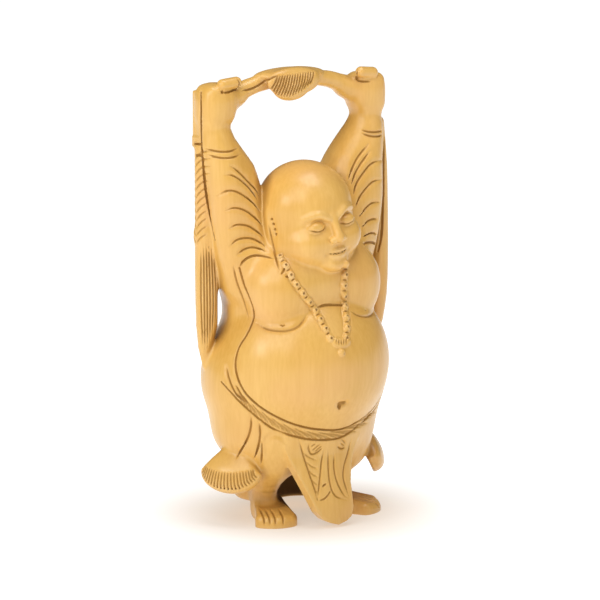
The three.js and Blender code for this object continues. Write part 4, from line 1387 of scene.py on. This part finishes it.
def tellHollows(carving):
    mesh = carving.data
    spots = np.empty(len(mesh.vertices) * 3)
    mesh.vertices.foreach_get("co", spots)
    spots = spots.reshape(-1, 3) / metresEach + [*pattern["middle"], 0.0]
    at = (spots - gridLow) / cell
    normals = gridNormals(at)
    reach = hollows["reach"]
    outside = readGrid(wood, at + normals * (reach / cell)) / reach
    inside = -readGrid(wood, at - normals * (reach / cell)) / reach
    shaded = np.zeros(len(spots))
    for probe in hollows["probes"]:
        clear = uncarved((spots + normals * probe).T.astype(np.float32)) / probe
        shaded += np.clip(1 - clear, 0, 1) / len(hollows["probes"])
    # Painted shade up inside the robe, fuller further back
    back = np.clip((spots[:, 1] - hollows["robeFront"]) / hollows["robeFade"], 0, 1)
    paintedRobeShade = np.clip(1 - underRobe(spots.T.astype(np.float32)) / hollows["robeDepth"], 0, 1) * back
    told = {
        "sunk": np.clip(-readGrid(plain, at), 0, hollows["deepest"]),
        "shutIn": np.clip(1 - outside, 0, 1),
        "worn": np.clip(1 - inside, 0, 1),
        "shaded": shaded,
        "paintedRobeShade": paintedRobeShade * (spots[:, 2] > hollows["footTop"]),
    }
    for name, values in told.items():
        layer = mesh.attributes.new(name, "FLOAT", "POINT")
        layer.data.foreach_set("value", values.astype(np.float32))
    mesh.normals_split_custom_set_from_vertices(normals.tolist())


carving = meshFigure()
tellHollows(carving)
print("figure meshed:", len(carving.data.polygons), "faces")


# Shader nodes. A Wire is a socket that can be reckoned with, and a Finish is a material being built.

class Wire:
    def __init__(self, finish, socket):
        self.finish = finish
        self.socket = socket

    def __add__(self, other):
        return self.finish.reckon("ADD", self, other)

    def __sub__(self, other):
        return self.finish.reckon("SUBTRACT", self, other)

    def __rsub__(self, other):
        return self.finish.reckon("SUBTRACT", other, self)

    def __mul__(self, other):
        return self.finish.reckon("MULTIPLY", self, other)

    __radd__ = __add__
    __rmul__ = __mul__


class Finish:
    def __init__(self, name):
        self.material = bpy.data.materials.new(name)
        self.material.use_nodes = True
        self.tree = self.material.node_tree
        self.shader = self.tree.nodes["Principled BSDF"]

    # A node of a type, with its settings first and then its sockets' values or links
    def add(self, kind, settings, sockets, output=0):
        node = self.tree.nodes.new(kind)
        for name, value in settings.items():
            setattr(node, name, value)
        for name, value in sockets.items():
            if isinstance(value, Wire):
                self.tree.links.new(value.socket, node.inputs[name])
            else:
                node.inputs[name].default_value = value
        return Wire(self, node.outputs[output])

    def reckon(self, operation, first, second):
        return self.add("ShaderNodeMath", {"operation": operation}, {0: first, 1: second})

    def feed(self, name, value):
        if isinstance(value, Wire):
            self.tree.links.new(value.socket, self.shader.inputs[name])
        else:
            self.shader.inputs[name].default_value = value


# The wood: pale honey, straight upright grain, satin polish, darker in the tool marks and crevices partly
# as stain and partly as painted shade, with painted shade where larger forms shut it in and near-black
# painted shade up inside the robe

# A span is where a measure starts to count, where it counts in full, and how much its colour then covers.

satinWood = {
    "light": (0.84, 0.5, 0.128),
    "dark": (0.72, 0.385, 0.07),
    "darkSpan": (0.3, 0.7, 1.0),
    "pink": (0.82, 0.43, 0.145),
    "pinkSpan": (0.5, 0.75, 0.45),
    "shade": (0.30, 0.13, 0.015),
    "shadeSpan": (0.4, 0.95, 0.55),
    # the cuts and crevices: partly stain gathered there, partly painted shade
    "cutStainAndShade": (0.3, 0.125, 0.008),
    "cutStainAndShadeSpan": (0.1, 0.8, 0.82),
    "polish": (0.93, 0.74, 0.42),
    "polishSpan": (0.25, 0.9, 0.25),
    # painted shade, near black, up inside the robe
    "hollowShade": (0.05, 0.018, 0.004),
    "hollowShadeCover": 0.92,
    "stretch": 0.09,  # a streak's width as a share of its height
    "broad": 55.0,
    "fine": 620.0,
    "patches": 24.0,
    "roughness": 0.37,
    "coat": 0.5,
    "coatRoughness": 0.24,
    "bump": 0.12,
}


# How much of a colour a measure brings in
def cover(finish, name, value, kind="LINEAR"):
    low, high, most = satinWood[name + "Span"]
    sockets = {"Value": value, "From Min": low, "From Max": high, "To Max": most}
    return finish.add("ShaderNodeMapRange", {"interpolation_type": kind}, sockets)


def woodFinish():
    finish = Finish("satin_wood")
    place = finish.add("ShaderNodeTexCoord", {}, {}, "Object")
    scale = (1.0, 1.0, satinWood["stretch"])
    streaks = finish.add("ShaderNodeMapping", {}, {"Vector": place, "Scale": scale})
    broad = finish.add("ShaderNodeTexNoise", {}, {
        "Vector": streaks, "Scale": satinWood["broad"], "Detail": 3.0, "Distortion": 0.4})
    fine = finish.add("ShaderNodeTexNoise", {}, {
        "Vector": streaks, "Scale": satinWood["fine"], "Detail": 3.0})
    patches = finish.add("ShaderNodeTexNoise", {}, {
        "Vector": place, "Scale": satinWood["patches"], "Detail": 2.0})
    sunk, shutIn, worn, shaded, paintedRobeShade = (
        finish.add("ShaderNodeAttribute", {"attribute_name": name}, {}, "Fac")
        for name in ("sunk", "shutIn", "worn", "shaded", "paintedRobeShade")
    )
    # The cuts and crevices darken, partly as stain gathered there and partly as painted shade; the shade
    # layer and the near-black layer up inside the robe are painted shade
    depth = cover(finish, "cutStainAndShade", sunk + shutIn * 0.12, "SMOOTHSTEP")
    layers = (
        ("dark", cover(finish, "dark", broad * 0.6 + fine * 0.4)),
        ("pink", cover(finish, "pink", patches)),
        ("shade", cover(finish, "shade", shaded)),
        ("cutStainAndShade", depth),
        ("polish", cover(finish, "polish", worn)),
        ("hollowShade", paintedRobeShade * satinWood["hollowShadeCover"]),
    )
    colour = (*satinWood["light"], 1)
    for name, factor in layers:
        sockets = {"Factor": factor, "A": colour, "B": (*satinWood[name], 1)}
        colour = finish.add("ShaderNodeMix", {"data_type": "RGBA"}, sockets, "Result")
    finish.feed("Base Color", colour)
    finish.feed("Roughness", fine * 0.1 + depth * 0.4 + paintedRobeShade * 0.5 + satinWood["roughness"])
    grain = fine * 0.6 + broad * 0.4
    finish.feed("Normal", finish.add("ShaderNodeBump", {}, {
        "Height": grain, "Strength": satinWood["bump"], "Distance": 0.0004}))
    finish.feed("Coat Weight", (1 - depth) * (1 - paintedRobeShade) * satinWood["coat"])
    finish.feed("Coat Roughness", satinWood["coatRoughness"])
    finish.feed("Specular IOR Level", 0.45)
    return finish.material


woodMaterial = woodFinish()
carving.data.materials.append(woodMaterial)
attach(carving, "root")
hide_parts("budai_figure")
print("wood finished")


# A pale floor that glows evenly away from the figure, with a painted shadow and painted warm light
# reflected off the wood beside it, and soft studio light

studio = {
    "floor": 30.0,
    "paint": 0.4,
    "nearGlow": 0.55,  # the floor's own light, which keeps it as pale as a lit paper roll; lower beside the figure as a painted shadow
    "farGlow": 1.0,
    "glowStart": 0.03,  # metres from the figure
    "glowReach": 0.125,  # metres from the figure to where the floor is at its palest
    "paintedWoodBounce": 0.35,  # how much of the wood's colour is painted onto the floor beside the figure, as light reflected off the wood
    "world": 0.11,
    "key": (-1.0, -0.6, 1.05, 0.95, 7.8),  # place, width in metres and watts
    "fill": (0.5, -1.0, 0.9, 0.9, 1.5),
    "top": (0.0, -0.25, 1.3, 0.7, 7.0),
    "side": (-1.3, -0.05, 0.62, 0.45, 4.0),
}


def addFloor():
    half = studio["floor"]
    mesh = bpy.data.meshes.new("floor")
    corners = [(-half, -half, 0), (half, -half, 0), (half, half, 0), (-half, half, 0)]
    mesh.from_pydata(corners, [], [(0, 1, 2, 3)])
    floor = bpy.data.objects.new("floor", mesh)
    bpy.context.collection.objects.link(floor)
    finish = Finish("pale_floor")
    finish.feed("Base Color", (studio["paint"], studio["paint"], studio["paint"], 1))
    finish.feed("Roughness", 0.9)
    finish.feed("Specular IOR Level", 0.1)
    place = finish.add("ShaderNodeTexCoord", {}, {}, "Object")
    away = finish.add("ShaderNodeVectorMath", {"operation": "LENGTH"}, {0: place}, "Value")
    glow = finish.add("ShaderNodeMapRange", {"interpolation_type": "SMOOTHSTEP"}, {
        "Value": away, "From Min": studio["glowStart"], "From Max": studio["glowReach"],
        "To Min": studio["nearGlow"], "To Max": studio["farGlow"]})
    # Beside the figure the glow drops and warms: a painted shadow, tinged with painted light reflected off
    # the wood
    paintedShadow = 1 - glow
    green = glow - paintedShadow * (studio["paintedWoodBounce"] / 2)
    blue = glow - paintedShadow * studio["paintedWoodBounce"]
    finish.feed("Emission Color", finish.add("ShaderNodeCombineColor", {}, {
        "Red": glow, "Green": green, "Blue": blue}, "Color"))
    finish.feed("Emission Strength", 1.0)
    mesh.materials.append(finish.material)


def addLight(name, place):
    x, y, z, width, watts = place
    data = bpy.data.lights.new(name, "AREA")
    data.size = width
    data.energy = watts
    light = bpy.data.objects.new(name, data)
    aim = Vector((0, 0, cadHigh[2] / 2)) - Vector((x, y, z))
    light.rotation_euler = aim.to_track_quat("-Z", "Y").to_euler()
    light.location = (x, y, z)
    bpy.context.collection.objects.link(light)


def addWorld():
    world = bpy.data.worlds.new("studio")
    world.use_nodes = True
    world.node_tree.nodes["Background"].inputs["Color"].default_value = (1, 1, 1, 1)
    world.node_tree.nodes["Background"].inputs["Strength"].default_value = studio["world"]
    bpy.context.scene.world = world
    bpy.context.scene.view_settings.view_transform = "Standard"


addFloor()
for name in ("key", "fill", "top", "side"):
    addLight(name, studio[name])
addWorld()
print("studio lit")
